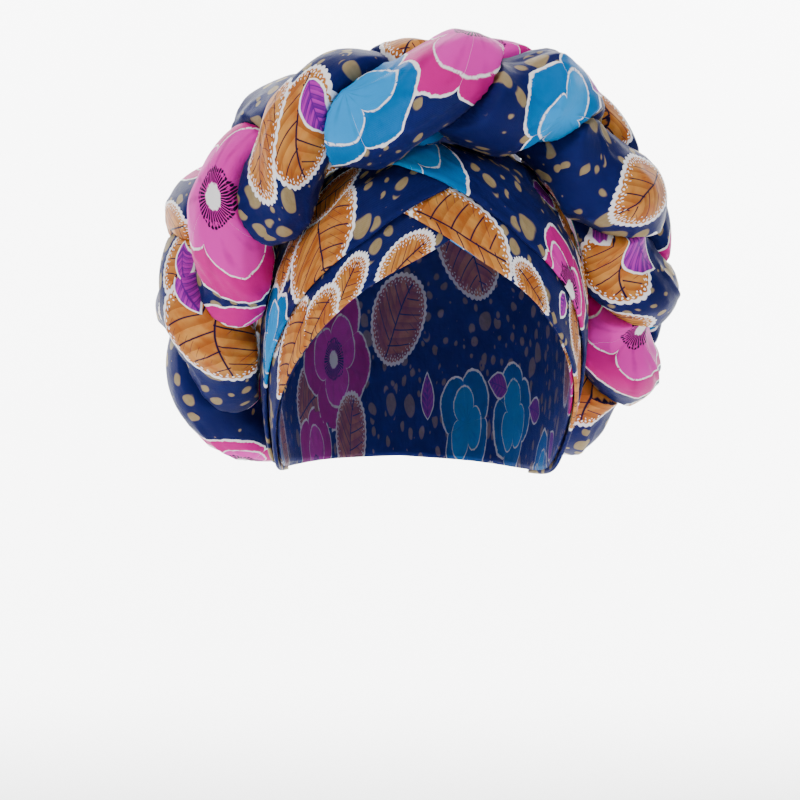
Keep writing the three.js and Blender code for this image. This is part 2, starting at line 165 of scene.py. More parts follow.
@dataclass(frozen=True)
class HeadForm:
    """The head hollow: a rounded box, |x/a|^p + |y/b|^p = s^p level and s^n + |z/c|^n = 1 upright.

    Attributes:
        breadth: Twice a.
        length: Front to back, twice b.
        rise: The height c above brow level.
        drop: The depth c below it.
        level_squareness: The power p.
        rise_squareness: The power n above brow level.
        drop_squareness: The power n below it.
    """

    breadth: float = 156.0
    length: float = 196.0
    rise: float = 94.0
    drop: float = 152.0
    level_squareness: float = 2.2
    rise_squareness: float = 2.7
    drop_squareness: float = 2.2

    def _upright(self, side: Array) -> tuple[Array, Array]:
        """The depth and the squareness above brow level, or below it.

        Args:
            side: Any number that is negative below brow level.

        Returns:
            The two for each number.
        """
        below = np.asarray(side) < 0
        return (
            np.where(below, self.drop, self.rise),
            np.where(below, self.drop_squareness, self.rise_squareness),
        )

    def climb_to(self, height: Array | float) -> Array:
        """The climb from brow level that reaches a height.

        Args:
            height: Shares of the rise, negative below brow level.

        Returns:
            The climb in degrees.
        """
        height = np.asarray(height, float)
        depth, n = self._upright(height)
        share = np.minimum(np.abs(height * self.rise) / depth, 1)
        return np.sign(height) * np.degrees(np.arcsin(share ** (n / 2)))

    def outward(self, point: Array) -> Array:
        """The direction straight off the surface: the slope of the rounded box's own sum of powers.

        Args:
            point: Points on the surface.

        Returns:
            A vector 1 long for each point.
        """
        p = self.level_squareness
        x, y, z = point[..., 0], point[..., 1], point[..., 2]
        a, b = self.breadth / 2, self.length / 2
        depth, n = self._upright(z)
        level = np.abs(x / a) ** p + np.abs(y / b) ** p
        rest = np.maximum(level, 1e-12) ** (n / p - 1)
        parts = (
            rest * np.sign(x) * np.abs(x / a) ** (p - 1) / a,
            rest * np.sign(y) * np.abs(y / b) ** (p - 1) / b,
            np.sign(z) * np.abs(z / depth) ** (n - 1) / depth,
        )
        return unit(np.stack(parts, axis=-1))

    def over(self, turn: Array, climb: Array, lift: Array | float) -> Array:
        """Points at a turn and a climb in degrees, lifted straight off the surface.

        Args:
            turn: Degrees round from the front centre.
            climb: Degrees up from brow level.
            lift: Millimetres off the surface.

        Returns:
            One point for each turn and climb.
        """
        turn, climb = np.broadcast_arrays(np.radians(turn), np.radians(climb))
        p = self.level_squareness
        depth, n = self._upright(climb)
        sine, cosine = np.sin(turn), np.cos(turn)
        outline = (np.abs(2 * sine / self.breadth) ** p + np.abs(2 * cosine / self.length) ** p) ** (-1 / p)
        level = outline * np.maximum(np.cos(climb), 0) ** (2 / n)
        height = np.sign(climb) * np.abs(np.sin(climb)) ** (2 / n) * depth
        point = np.stack((level * sine, -level * cosine, height), axis=-1)
        return point + self.outward(point) * np.asarray(lift, float)[..., None]


HEAD = HeadForm()

# Heights are shares of the head's rise above brow level, and turns are degrees from the front centre.
RIM = Course((
    (0, 0.467), (7, 0.387), (14, 0.317), (21, 0.242), (28, 0.156), (35, 0.0591), (43, -0.0484),
    (52, -0.167), (62, -0.295), (72, -0.414), (82, -0.532), (91, -0.645), (100, -0.736),
    (112, -0.768), (130, -0.763), (155, -0.731), (180, -0.709),
))
PLAIT_HEIGHT = Course((
    (0, 0.92), (30, 0.91), (56, 0.82), (80, 0.57), (100, 0.27), (117, -0.05), (134, -0.29),
    (156, -0.43), (180, -0.46),
))
PLAIT_LEAN = Course((
    (0, -24), (30, -19), (56, -6), (80, 5), (100, 9), (117, 9), (134, 6), (156, 0), (180, 0),
))


class Cloth(enum.Enum):
    """The five printed cloths, by what their print shows most of."""

    CROWN = "crown_cloth"
    LEAF = "leaf_cloth"
    PEBBLE = "pebble_cloth"
    PETAL = "petal_cloth"
    POPPY = "poppy_cloth"


class Print(enum.Enum):
    """The things printed on the cloth. Each has a layer of its own, and later ones lie on top.

    BARE is plain ground that is kept free of the others.
    """

    BACK_LEAF = "back_leaf"
    BACK_BLOOM = "back_bloom"
    LEAF = "leaf"
    BLOOM = "bloom"
    BUD = "bud"
    BARE = "bare"


@dataclass(frozen=True)
class Motif:
    """One printed thing on the flat cloth.

    Attributes:
        kind: What it is.
        along: Millimetres lengthways on the cloth to its middle.
        across: Millimetres crossways.
        turn: Degrees that it is turned by.
        reach: Half its length, or a bloom's radius; negative for the blue kind of bloom.
    """

    kind: Print
    along: float
    across: float
    turn: float
    reach: float


@dataclass
class Surface:
    """A mesh as arrays.

    Attributes:
        points: Where its points are.
        faces: The four corners of each face.
        flat: Each corner's place on the flat cloth.
        inside: Which faces show the reverse of the cloth, where any do.
    """

    points: Array
    faces: Array
    flat: Array
    inside: Array | None = None

    def cloth_area(self) -> float:
        """The cloth's own area: half that of all the faces, each taken as two triangles.

        Returns:
            Square metres.
        """
        a, b, c, d = (self.points[self.faces[:, k]] for k in range(4))
        first = np.linalg.norm(np.cross(b - a, c - a), axis=1)
        second = np.linalg.norm(np.cross(c - a, d - a), axis=1)
        return float((first + second).sum()) / 4 * METRES**2

    def local_places(self, motifs: list[Motif], kind: Print) -> Array:
        """Each corner's place in the motif that its face belongs to.

        A face takes the motif whose middle is nearest in shares of its reach. The place is turned
        and centred on the motif, in millimetres, and the third number is the motif's reach.

        Args:
            motifs: All motifs on the piece.
            kind: The layer that is worked out.

        Returns:
            Three numbers for each corner of each face, far away where there is no motif.
        """
        places = np.full((*self.flat.shape[:2], 3), FAR_AWAY)
        places[..., 2] = 1.0
        nearest = np.full(len(self.flat), MOTIF_SEARCH)
        for motif in (m for m in motifs if m.kind is kind):
            angle = math.radians(motif.turn)
            offset = self.flat - (motif.along, motif.across)
            x = offset[..., 0] * math.cos(angle) + offset[..., 1] * math.sin(angle)
            y = offset[..., 1] * math.cos(angle) - offset[..., 0] * math.sin(angle)
            share = np.hypot(x, y).min(axis=1) / abs(motif.reach)
            near = share < nearest
            nearest[near] = share[near]
            places[near, :, 0], places[near, :, 1] = x[near], y[near]
            places[near, :, 2] = motif.reach
        return places

    def build(self, name: str, motifs: list[Motif]) -> bpy.types.Object:
        """Puts the surface into a mesh object with its cloth places and motif places.

        Args:
            name: The new object's name.
            motifs: What is printed on it.

        Returns:
            The object, at the origin.
        """
        mesh = bpy.data.meshes.new(name)
        mesh.from_pydata((self.points * METRES).tolist(), [], self.faces.tolist())
        mesh.update()
        mesh.polygons.foreach_set("use_smooth", np.ones(len(mesh.polygons), bool))
        flat = mesh.uv_layers.new(name="cloth")
        flat.uv.foreach_set("vector", (self.flat * METRES).astype(np.float32).ravel())
        if self.inside is not None:
            mesh.polygons.foreach_set("material_index", self.inside.astype(np.int32))
        for kind in (k for k in Print if k is not Print.BARE):
            layer = mesh.attributes.new(kind.value, "FLOAT_VECTOR", "CORNER")
            layer.data.foreach_set("vector", self.local_places(motifs, kind).astype(np.float32).ravel())
        mesh.update()
        piece = bpy.data.objects.new(name, mesh)
        bpy.context.scene.collection.objects.link(piece)
        return piece


def grid_faces(number: Array) -> Array:
    """The four-cornered faces of a grid of point numbers."""
    corners = (number[:-1, :-1], number[1:, :-1], number[1:, 1:], number[:-1, 1:])
    return np.stack([c.ravel() for c in corners], axis=-1)


def fan_faces(ring: Array, hub: int) -> Array:
    """Faces that close a ring of point numbers on one point, two sides of the ring to each."""
    start = np.arange(0, len(ring) - 1, 2)
    return np.stack((ring[start], ring[start + 1], ring[start + 2], np.full(len(start), hub)), axis=-1)


def grid_corners(values: Array) -> Array:
    """The values of a grid of points at the four corners of each face, in the order of grid_faces."""
    parts = (values[:-1, :-1], values[1:, :-1], values[1:, 1:], values[:-1, 1:])
    return np.stack([v.reshape(-1, values.shape[-1]) for v in parts], axis=1)


def pillow(outer: Array, inner: Array, flat: Array, outward_first: bool) -> Surface:
    """A closed sheet from two grids of points that meet along all four edges.

    Args:
        outer: Grid of points on the face that shows.
        inner: Grid of points on the face towards the head.
        flat: Grid of places on the flat cloth.
        outward_first: Whether the outer grid's own order already faces outwards.

    Returns:
        The sheet, with the edge points shared by both faces.
    """
    rows, columns = outer.shape[:2]
    count = rows * columns
    rim = np.ones((rows, columns), bool)
    rim[1:-1, 1:-1] = False
    number = np.arange(count) + count
    number[rim.ravel()] = np.arange(count)[rim.ravel()]
    front = grid_faces(np.arange(count).reshape(rows, columns))
    back = number[front]
    corners = grid_corners(flat)
    if outward_first:
        back, back_corners = back[:, ::-1], corners[:, ::-1]
        front_corners = corners
    else:
        front, front_corners = front[:, ::-1], corners[:, ::-1]
        back_corners = corners
    used, renumbered = np.unique(np.concatenate((front, back)), return_inverse=True)
    points = np.concatenate((outer.reshape(-1, 3), inner.reshape(-1, 3)))[used]
    return Surface(points, renumbered.reshape(-1, 4), np.concatenate((front_corners, back_corners)))


def row_places(count: int, bunching: float) -> Array:
    """Shares from 0 to 1 that bunch up at both ends: s, blended with (1 - cos(pi s))/2."""
    s = np.linspace(0, 1, count)
    return lerp(s, (1 - np.cos(np.pi * s)) / 2, bunching)


@dataclass(frozen=True)
class FoldCut:
    """How one fold is cut and named.

    Attributes:
        name: The new piece.
        node: The solid that it stands for.
        side: -1 for the wearer's right, 1 for the left.
        upper: Whether it is one of the two upper folds.
        cloth: Its printed cloth.
        creasing: Height of its creases, in millimetres.
        seed: Which random creases.
    """

    name: str
    node: str
    side: int
    upper: bool
    cloth: Cloth
    creasing: float
    seed: int


@dataclass(frozen=True)
class Wrap:
    """The crown and the four crossed folds, laid over the head form one on another.

    Attributes:
        crown_wall: Thickness of the crown.
        crown_grid: Its points from the rim to the top, and round.
        crown_last_ring: How far up its last ring stands, as a share.
        plait_edge: From and to which distance from the plait's line its cloth comes free.
        rim_band: The same from the rim.
        puff_height: How far its cloth stands up inside the plait's ring.
        puff_edge: From and to which distance from the plait's line the puff rises.
        puff_end: From and to which distance from the top it sinks again.
        gather_height: Height of the gathers along the plait.
        gather_spacing: The k of the gathers' formula.
        gather_start: The distance from the plait's line at which they start to fade.
        gather_fade: The length f over which they fade.
        crown_crease_height: Height of the crown's creases.
        fold_wall: Thickness of a fold.
        fold_grid: Its points crossways and lengthways.
        fold_creases: Slant, length, breadth and share of the height of its creases.
        layer_gap: Gap between two layers of cloth.
        overhang: How far the lower folds reach down past the crown's rim.
        narrowest: The least breadth of an upper fold, in degrees of climb.
        end_turn: Where the folds end, in degrees.
        ramp_start: How far past a fold's edge the cloth over it starts to come down.
        ramp_end: How far past that edge it is down.
        edge_rounding: Radius of all closed edges.
        hem_roll: Height of the roll by a fold's free edge.
        hem_place: How far from that edge it runs.
        hem_breadth: Its breadth.
        past_peak: Heights of a lower fold's edge on the other side of the front centre.
        lower_width: Breadths of a lower fold, as shares of the head's rise.
        upper_edge: Heights of an upper fold's free edge.
        folds: The four folds, from the head outwards.
    """

    crown_wall: float = 1.6
    crown_grid: tuple[int, int] = (74, 288)
    crown_last_ring: float = 0.9985
    plait_edge: tuple[float, float] = (27.0, 36.0)
    rim_band: tuple[float, float] = (3.0, 12.0)
    puff_height: float = 16.0
    puff_edge: tuple[float, float] = (37.0, 56.0)
    puff_end: tuple[float, float] = (62.0, 125.0)
    gather_height: float = 1.7
    gather_spacing: float = 0.62
    gather_start: float = 30.0
    gather_fade: float = 22.0
    crown_crease_height: float = 0.5
    fold_wall: float = 1.6
    fold_grid: tuple[int, int] = (58, 300)
    fold_creases: tuple[tuple[float, float, float, float], ...] = (
        (0.22, 85.0, 9.0, 0.8), (-0.1, 120.0, 14.0, 0.6),
    )
    layer_gap: float = 0.9
    overhang: float = 1.5
    narrowest: float = 5.0
    end_turn: float = 126.0
    ramp_start: float = 11.0
    ramp_end: float = 26.0
    edge_rounding: float = 1.3
    hem_roll: float = 0.55
    hem_place: float = 2.6
    hem_breadth: float = 2.2
    past_peak: Course = Course((
        (-26, 0.677), (-20, 0.629), (-14, 0.58), (-10, 0.548), (-5, 0.5), (0, 0.451),
    ))
    lower_width: Course = Course((
        (-26, 0.215), (-10, 0.322), (5, 0.408), (60, 0.451), (100, 0.365), (126, 0.365),
    ))
    upper_edge: Course = Course((
        (-42, 0.88), (-30, 0.85), (-22, 0.812), (-15, 0.776), (-8, 0.741), (-2, 0.704), (4, 0.655),
        (10, 0.602), (16, 0.532), (23, 0.451), (31, 0.36), (40, 0.247), (49, 0.129), (58, 0),
        (68, -0.124), (78, -0.258), (88, -0.43), (98, -0.623), (110, -0.731), (126, -0.731),
    ))
    folds: tuple[FoldCut, ...] = (
        FoldCut("low_wrap_right", "lower_fold_right", -1, False, Cloth.LEAF, 0.4, 11),
        FoldCut("low_wrap_left", "lower_fold_left", 1, False, Cloth.LEAF, 0.4, 23),
        FoldCut("high_wrap_right", "upper_fold_right", -1, True, Cloth.PEBBLE, 0.55, 37),
        FoldCut("high_wrap_left", "upper_fold_left", 1, True, Cloth.PETAL, 0.9, 41),
    )

    def first_turn(self, cut: FoldCut) -> float:
        """The turn, counted towards the fold's own side, where it starts on the other side."""
        return (self.upper_edge if cut.upper else self.past_peak).rows[0][0]

    def edges(self, cut: FoldCut, own_turn: Array) -> tuple[Array, Array]:
        """The climbs of a fold's free edge and of its hidden upper edge.

        Args:
            cut: The fold.
            own_turn: Degrees round from the front centre, counted towards its own side.

        Returns:
            The two climbs in degrees.
        """
        if cut.upper:
            edge = HEAD.climb_to(self.upper_edge.at(own_turn))
            seat = HEAD.climb_to(PLAIT_HEIGHT.at(np.abs(own_turn)))
            return edge, np.maximum(seat, edge + self.narrowest)
        rim = RIM.at(np.maximum(own_turn, 0)) - self.overhang / HEAD.rise
        height = np.where(np.asarray(own_turn) < 0, self.past_peak.at(own_turn), rim)
        return HEAD.climb_to(height), HEAD.climb_to(height + self.lower_width.at(own_turn))

    def cover(self, cut: FoldCut, turn: Array, climb: Array) -> Array:
        """How much a fold lifts what lies over it: 1 over the fold, easing to 0 round it.

        Args:
            cut: The fold.
            turn: Degrees round from the front centre.
            climb: Degrees up from brow level.

        Returns:
            A share for each turn and climb.
        """
        own = turn * cut.side
        start = self.first_turn(cut)
        edge, top = self.edges(cut, np.clip(own, start, self.end_turn))
        per_degree = math.radians((HEAD.rise + HEAD.length / 2) / 2)
        share = np.ones_like(own)
        for past in (edge - climb, climb - top, start - own, own - self.end_turn):
            share = share * (1 - ease(past * per_degree, self.ramp_start, self.ramp_end))
        return share

    def under(self, layers: int, turn: Array, climb: Array) -> Array:
        """How far the cloth that lies first, up to a layer, stands off the head form.

        Args:
            layers: How many folds lie on the crown already.
            turn: Degrees round from the front centre.
            climb: Degrees up from brow level.

        Returns:
            Millimetres for each turn and climb.
        """
        turn, climb = np.broadcast_arrays(np.asarray(turn, float), np.asarray(climb, float))
        total = sum((self.cover(cut, turn, climb) for cut in self.folds[:layers]), np.zeros_like(turn))
        return self.crown_wall + self.layer_gap + total * (self.fold_wall + self.layer_gap)

    def fold_surface(self, layer: int) -> Surface:
        """One fold: a sheet that follows the head and the folds under it.

        Its wall closes at the edges as a half circle, sqrt(1 - (1 - x/r)^2), it rolls up a little by
        the free edge as exp(-((x - p)/b)^2), and long slanting creases stand out where nothing lies on
        it. A row of fold_creases is a slant, a length, a breadth and a share of the full height.

        Args:
            layer: Which fold, from the head outwards.

        Returns:
            The closed sheet.
        """
        cut = self.folds[layer]
        rows, columns = self.fold_grid
        share = row_places(columns, 0.35)[:, None]
        up = row_places(rows, 0.85)[None, :]
        own = lerp(self.first_turn(cut), self.end_turn, share)
        edge, top = self.edges(cut, own)
        turn, climb = own * cut.side + 0 * up, lerp(edge, top, up)
        base = self.under(layer, turn, climb)
        surface = HEAD.over(turn, climb, base)
        across = np.zeros(turn.shape)
        across[:, 1:] = np.cumsum(np.linalg.norm(np.diff(surface, axis=1), axis=-1), axis=1)
        middle = surface[:, rows // 4]
        step = np.linalg.norm(np.diff(middle, axis=0), axis=-1)
        along = np.concatenate(([0.0], np.cumsum(step)))[:, None] + 0 * across
        ends = np.minimum(along, along[-1:] - along)
        inset = np.minimum(np.minimum(across, across[:, -1:] - across), ends)
        wall = np.sqrt(np.clip(1 - (1 - np.clip(inset / self.edge_rounding, 0, 1)) ** 2, 0, 1))
        past_hem = (across - self.hem_place) / self.hem_breadth
        roll = self.hem_roll * np.exp(-(past_hem**2)) * ease(ends, 0, 8)
        ridges = sum(
            crease(along, across + slant * along, long, wide, cut.seed + n) * height
            for n, (slant, long, wide, height) in enumerate(self.fold_creases)
        )
        free = ease(across, 3, 10) * (1 - ease(up, 0.62, 0.86)) * ease(ends, 2, 20)
        ridges *= free * cut.creasing
        half = self.fold_wall / 2
        outer = HEAD.over(turn, climb, base + half + half * wall + (roll + ridges) * wall)
        inner = HEAD.over(turn, climb, base + half - half * wall + ridges * 0.8 * wall)
        return pillow(outer, inner, np.stack((along, across), axis=-1), cut.side > 0)

    def crown_surface(self, plait_line: Array) -> Surface:
        """The crown: an outer and an inner dome that meet in a rounded rim.

        Inside the plait's ring its cloth stands up in a soft puff that sinks again down the back, and it
        is drawn up in small gathers that run away from the plait: sin(kn)^2, with n the place along the
        plait, times exp(-(d - s)/f) from a distance s on, with d the distance from the plait.

        Args:
            plait_line: Points along the plait's middle on the head.

        Returns:
            The closed sheet, whose flat cloth is laid out round the top.
        """
        rows, columns = self.crown_grid
        turn = np.linspace(-180, 180, columns + 1)[:, None]
        up = row_places(rows, 0.5)[None, :] * self.crown_last_ring
        rim = HEAD.climb_to(RIM.at(np.abs(turn)))
        climb = lerp(rim, 90.0, up)
        turn = turn + 0 * climb
        wall_middle = HEAD.over(turn, climb, self.crown_wall / 2)
        length = np.linalg.norm(np.diff(wall_middle, axis=1), axis=-1)
        from_rim = np.concatenate((np.zeros((columns + 1, 1)), np.cumsum(length, axis=1)), axis=1)
        to_top = from_rim[:, -1:] - from_rim
        away = np.linalg.norm(wall_middle[:, :, None, :] - plait_line[None, None, :, :], axis=-1)
        nearest = away.argmin(axis=-1)
        distance = away.min(axis=-1)
        cloth_over = sum(self.cover(cut, turn, climb) for cut in self.folds)
        bare = ease(distance, *self.plait_edge) * (1 - np.clip(cloth_over, 0, 1))
        gathers = np.sin(nearest * self.gather_spacing + 2.2 * ripple(nearest, distance, 9, 25, 5)) ** 2
        fade = np.exp(-np.maximum(distance - self.gather_start, 0) / self.gather_fade)
        lift = bare * (self.gather_height * gathers * fade)
        creases = crease(from_rim * np.sin(np.radians(turn)), to_top, 60, 17, 9)
        lift += bare * self.crown_crease_height * creases
        puff = self.puff_height * ease(distance, *self.puff_edge) * (1 - ease(to_top, *self.puff_end))
        lift += bare * puff
        lift *= ease(from_rim, *self.rim_band)
        wall = np.sqrt(np.clip(1 - (1 - np.clip(from_rim / self.edge_rounding, 0, 1)) ** 2, 0, 1))
        half = self.crown_wall / 2
        outer = HEAD.over(turn, climb, half + half * wall + lift)
        inner = HEAD.over(turn, climb, half - half * wall + lift * 0.7)
        angle = np.radians(turn)
        flat = np.stack((to_top * np.sin(angle), -to_top * np.cos(angle)), axis=-1)
        return self._dome(outer, inner, flat)

    @staticmethod
    def _dome(outer: Array, inner: Array, flat: Array) -> Surface:
        """Joins an outer and an inner dome along the rim, closes both seams and both tops.

        Args:
            outer: Grid of points, one row of it from the rim to the top for each turn.
            inner: The same on the inside.
            flat: Places on the flat cloth.

        Returns:
            The closed sheet.
        """
        columns, rows = outer.shape[0] - 1, outer.shape[1]
        number = np.arange(columns * rows).reshape(columns, rows)
        number = np.concatenate((number, number[:1]))
        inside = number + columns * rows
        inside[:, 0] = number[:, 0]
        tops = 2 * columns * rows

        def faces(grid: Array, hub: int) -> Array:
            """Faces of a dome whose last ring closes on one point."""
            return np.concatenate((grid_faces(grid), fan_faces(grid[:, -1], hub)))

        front, back = faces(number, tops), faces(inside, tops + 1)[:, ::-1]
        last, start = flat[:, -1], np.arange(0, columns, 2)
        middle = np.zeros((len(start), 2))
        cap = np.stack((last[start], last[start + 1], last[start + 2], middle), axis=1)
        corners = np.concatenate((grid_corners(flat), cap))
        points = np.concatenate((
            outer[:-1].reshape(-1, 3), inner[:-1].reshape(-1, 3),
            outer[:-1, -1].mean(axis=0)[None], inner[:-1, -1].mean(axis=0)[None],
        ))
        used, renumbered = np.unique(np.concatenate((front, back)), return_inverse=True)
        inside = np.repeat([False, True], len(front))
        places_both = np.concatenate((corners, corners[:, ::-1]))
        return Surface(points[used], renumbered.reshape(-1, 4), places_both, inside)


@dataclass
class PlaitLine:
    """The plait's middle line on the head, as one row for each station.

    Attributes:
        share: Where along the plait.
        foot: The point on the head.
        up: The direction off the head.
        front: The direction across the plait.
        along: The direction along it.
        lean: How far its section leans, in radians.
        seat: How high the cloth lies under it.
        length: Its whole length.
    """

    share: Array
    foot: Array
    up: Array
    front: Array
    along: Array
    lean: Array
    seat: Array
    length: float


@dataclass(frozen=True)
class Plait:
    """The padded plait: three stuffed tubes that cross over the head form and the cloth on it.

    Attributes:
        tube_diameter: Thickness of a tube that nothing presses.
        tube_gap: Gap between the pressed faces of two tubes.
        swing: How far a tube sways to each side of the plait.
        lift: How far it rises and dives where it crosses the others.
        droop: How far it sinks at the plait's two edges.
        slope: How much higher the plait lies on the wearer's left, as a share of the head's rise.
        seat_roundness: The radius R of the hollow that the head presses into it.
        seat_reach: How far to both sides the cloth under it counts.
        seat_clearance: Gap between the tubes and that cloth.
        underside: How far down a tube would reach below its middle.
        pressed_share: What is left of the depth under the plait's middle once it is pressed down.
        dent_height: Height of the dents.
        crease_height: Height of the long creases.
        fine_crease_height: Height of the fine ones.
        slack: How far the cloth lies lower between them.
        pucker_depth: Depth of the gathers where a tube dives under another.
        loose_squeeze: Between which shares of its free reach the cloth comes loose.
        end_taper_length: Length of the thinning ends.
        end_taper_share: What is left of the thickness there.
        end_rounding: Radius of the closed ends.
        nape_split: Gap between the two ends at the nape.
        corner_rounding: The power k of the soft corners.
        lobes: Where the plait's lobes are, as shares of its length.
        stations: Rings of points along a tube.
        sides: Points of a ring.
    """

    tube_diameter: float = 47.5
    tube_gap: float = 1.0
    swing: float = 22.0
    lift: float = 7.5
    droop: float = 7.5
    slope: float = 0.045
    seat_roundness: float = 130.0
    seat_reach: float = 30.0
    seat_clearance: float = 1.6
    underside: float = 23.0
    pressed_share: float = 0.81
    dent_height: float = 1.3
    crease_height: float = 1.9
    fine_crease_height: float = 0.9
    slack: float = 0.7
    pucker_depth: float = 1.5
    loose_squeeze: tuple[float, float] = (0.8, 0.99)
    end_taper_length: float = 112.0
    end_taper_share: float = 0.42
    end_rounding: float = 9.0
    nape_split: float = 1.6
    corner_rounding: float = 14.0
    lobes: tuple[float, ...] = (
        0.03, 0.127, 0.229, 0.318, 0.402, 0.479, 0.547, 0.619, 0.696, 0.774, 0.858, 0.95,
    )
    stations: int = 620
    sides: int = 76

    def line(self, wrap: Wrap) -> PlaitLine:
        """Works out the line that the plait follows and how high its seat is on the cloth.

        The line is a smooth curve through points on the head, spaced evenly by length. The seat at a
        station is the highest of the cloth to both sides, with x^2/2R added for the hollow of radius
        R that the head presses into the plait.

        Args:
            wrap: The cloth that it sits on.

        Returns:
            One row for each station.
        """
        rows = [(-t, h) for t, h in reversed(PLAIT_HEIGHT.rows[1:])] + list(PLAIT_HEIGHT.rows)
        turn, height = np.array(rows, float).T
        height = height + self.slope * np.sin(np.radians(turn))
        dense = self._smooth_curve(HEAD.over(turn, HEAD.climb_to(height), 0), 120)
        run = np.concatenate(([0.0], np.cumsum(np.linalg.norm(np.diff(dense, axis=0), axis=1))))
        length = float(run[-1])
        margin = self.nape_split / 2 / length
        share = np.linspace(margin, 1 - margin, self.stations)

        def along_line(at: Array) -> Array:
            """Points at shares of the line's length."""
            return np.stack([np.interp(at * length, run, dense[:, k]) for k in range(3)], axis=-1)

        nearby = along_line(share)
        tangent = unit(along_line(np.minimum(share + 0.002, 1)) - along_line(np.maximum(share - 0.002, 0)))
        foot = HEAD.over(turn_of(nearby), HEAD.climb_to(nearby[:, 2] / HEAD.rise), 0)
        up = HEAD.outward(foot)
        front = unit(np.cross(tangent, up))
        aside = np.linspace(-self.seat_reach, self.seat_reach, 9)
        below = foot[:, None] + front[:, None] * aside[None, :, None]
        below = unit(below) * np.linalg.norm(foot, axis=1)[:, None, None]
        turn, climb = turn_of(below), HEAD.climb_to(np.clip(below[..., 2] / HEAD.rise, -1, 1))
        cloth = HEAD.over(turn, climb, wrap.under(len(wrap.folds), turn, climb)) - foot[:, None]
        rise = dot(cloth, up[:, None]) + dot(cloth, front[:, None]) ** 2 / (2 * self.seat_roundness)
        seat = np.maximum(rise.max(axis=1), 0) + self.seat_clearance
        lean = np.radians(PLAIT_LEAN.at(np.abs(turn_of(foot))))
        return PlaitLine(share, foot, up, front, tangent, lean, seat, length)

    @staticmethod
    def _smooth_curve(points: Array, fine: int) -> Array:
        """A centripetal Catmull-Rom curve: each knot's distance is the root of that between its points.

        Args:
            points: What it passes through.
            fine: Steps between two of them.

        Returns:
            Points along the curve.
        """
        first, last = 2 * points[0] - points[1], 2 * points[-1] - points[-2]
        p = np.concatenate((first[None], points, last[None]))
        gap = np.linalg.norm(np.diff(p, axis=0), axis=1)[:, None] ** 0.5
        d0, d1, d2 = gap[:-2], gap[1:-1], gap[2:]
        p0, p1, p2, p3 = p[:-3], p[1:-2], p[2:-1], p[3:]
        t1 = ((p1 - p0) / d0 - (p2 - p0) / (d0 + d1) + (p2 - p1) / d1) * d1
        t2 = ((p2 - p1) / d1 - (p3 - p1) / (d1 + d2) + (p3 - p2) / d2) * d1
        s = np.linspace(0, 1, fine, endpoint=False)[None, :, None]
        p1, p2, t1, t2 = (v[:, None] for v in (p1, p2, t1, t2))
        curve = p1 + t1 * s + (-3 * p1 + 3 * p2 - 2 * t1 - t2) * s**2 + (2 * p1 - 2 * p2 + t1 + t2) * s**3
        return np.concatenate((curve.reshape(-1, 3), points[-1:]))

    def phase(self, share: Array) -> Array:
        """The plait's turn of phase, a third of a full turn for each lobe.

        Args:
            share: Where along the plait.

        Returns:
            Radians for each place.
        """
        course = Course(tuple((place, n) for n, place in enumerate(self.lobes)))
        first = (share - self.lobes[0]) / (self.lobes[1] - self.lobes[0])
        last = len(self.lobes) - 1 + (share - self.lobes[-1]) / (self.lobes[-1] - self.lobes[-2])
        within = np.where(share > self.lobes[-1], last, course.at(share))
        return np.where(share < self.lobes[0], first, within) * 2 * np.pi / 3

    def middles(self, share: Array, taper: Array) -> Array:
        """Where the three tubes' middles lie in the plait's section.

        A tube sways towards the front edge as sin(f), rises as -sin(2f) and sinks as sin(f)^2, with f
        the plait's phase less a third of a turn for each tube.

        Args:
            share: Where along the plait.
            taper: Thickness there, as a share of the full one.

        Returns:
            For each place and each tube, how far to the front and how far off the head.
        """
        phase = self.phase(share)[:, None] + np.pi / 2 - np.arange(3)[None, :] * 2 * np.pi / 3
        sway = np.sin(phase)
        rise = -self.lift * np.sin(2 * phase) - self.droop * sway**2
        return np.stack((self.swing * sway, rise), axis=-1) * taper[:, None, None]

    def tube(self, index: int, line: PlaitLine) -> Surface:
        """One stuffed tube, pressed flat against its neighbours and against the cloth under it.

        A ray from the tube's middle ends on the round outline, on the walls halfway to the other two
        tubes, or on the seat. The nearest of the first three is taken with a soft corner, as
        (a^-k + b^-k + c^-k)^(-1/k). Dents, creases and puckers are added, and the result is held
        within the walls and the seat.

        Args:
            index: Which of the three.
            line: The line that the plait follows.

        Returns:
            The closed tube.
        """
        share, length = line.share, line.length
        from_end = np.minimum(share, 1 - share) * length - self.nape_split / 2
        taper = lerp(self.end_taper_share, 1, ease(from_end, 0, self.end_taper_length))
        rounding = np.clip(from_end / self.end_rounding, 0.07, 1)
        radius = self.tube_diameter / 2 * taper
        middles = self.middles(share, taper)
        middle = middles[:, index]
        step = 0.5 / length
        ahead = self.middles(share + step, taper)[:, index]
        slant = np.hypot(1, np.linalg.norm(ahead - middle, axis=1) / (step * length))
        floor = -(self.lift * taper + self.underside * taper) * self.pressed_share
        cos, sin = np.cos(line.lean * taper)[:, None], np.sin(line.lean * taper)[:, None]
        across = line.front * cos + np.cross(line.along, line.front) * sin
        raised = line.up * cos + np.cross(line.along, line.up) * sin
        centre = line.foot + line.up * (line.seat - floor)[:, None]

        angle = -np.pi / 2 + np.arange(self.sides) * 2 * np.pi / self.sides
        ray = np.stack((np.cos(angle), np.sin(angle)), axis=-1)
        free = 1 / np.hypot(ray[:, 0] / (radius * slant)[:, None], ray[:, 1] / radius[:, None])
        walls = [self._reach_halfway(middle, middles[:, n], ray) for n in range(3) if n != index]
        limits = (free, *walls)
        pressed = sum(limit**-self.corner_rounding for limit in limits) ** (-1 / self.corner_rounding)
        squeeze = pressed / free
        looseness = ease(squeeze, *self.loose_squeeze)

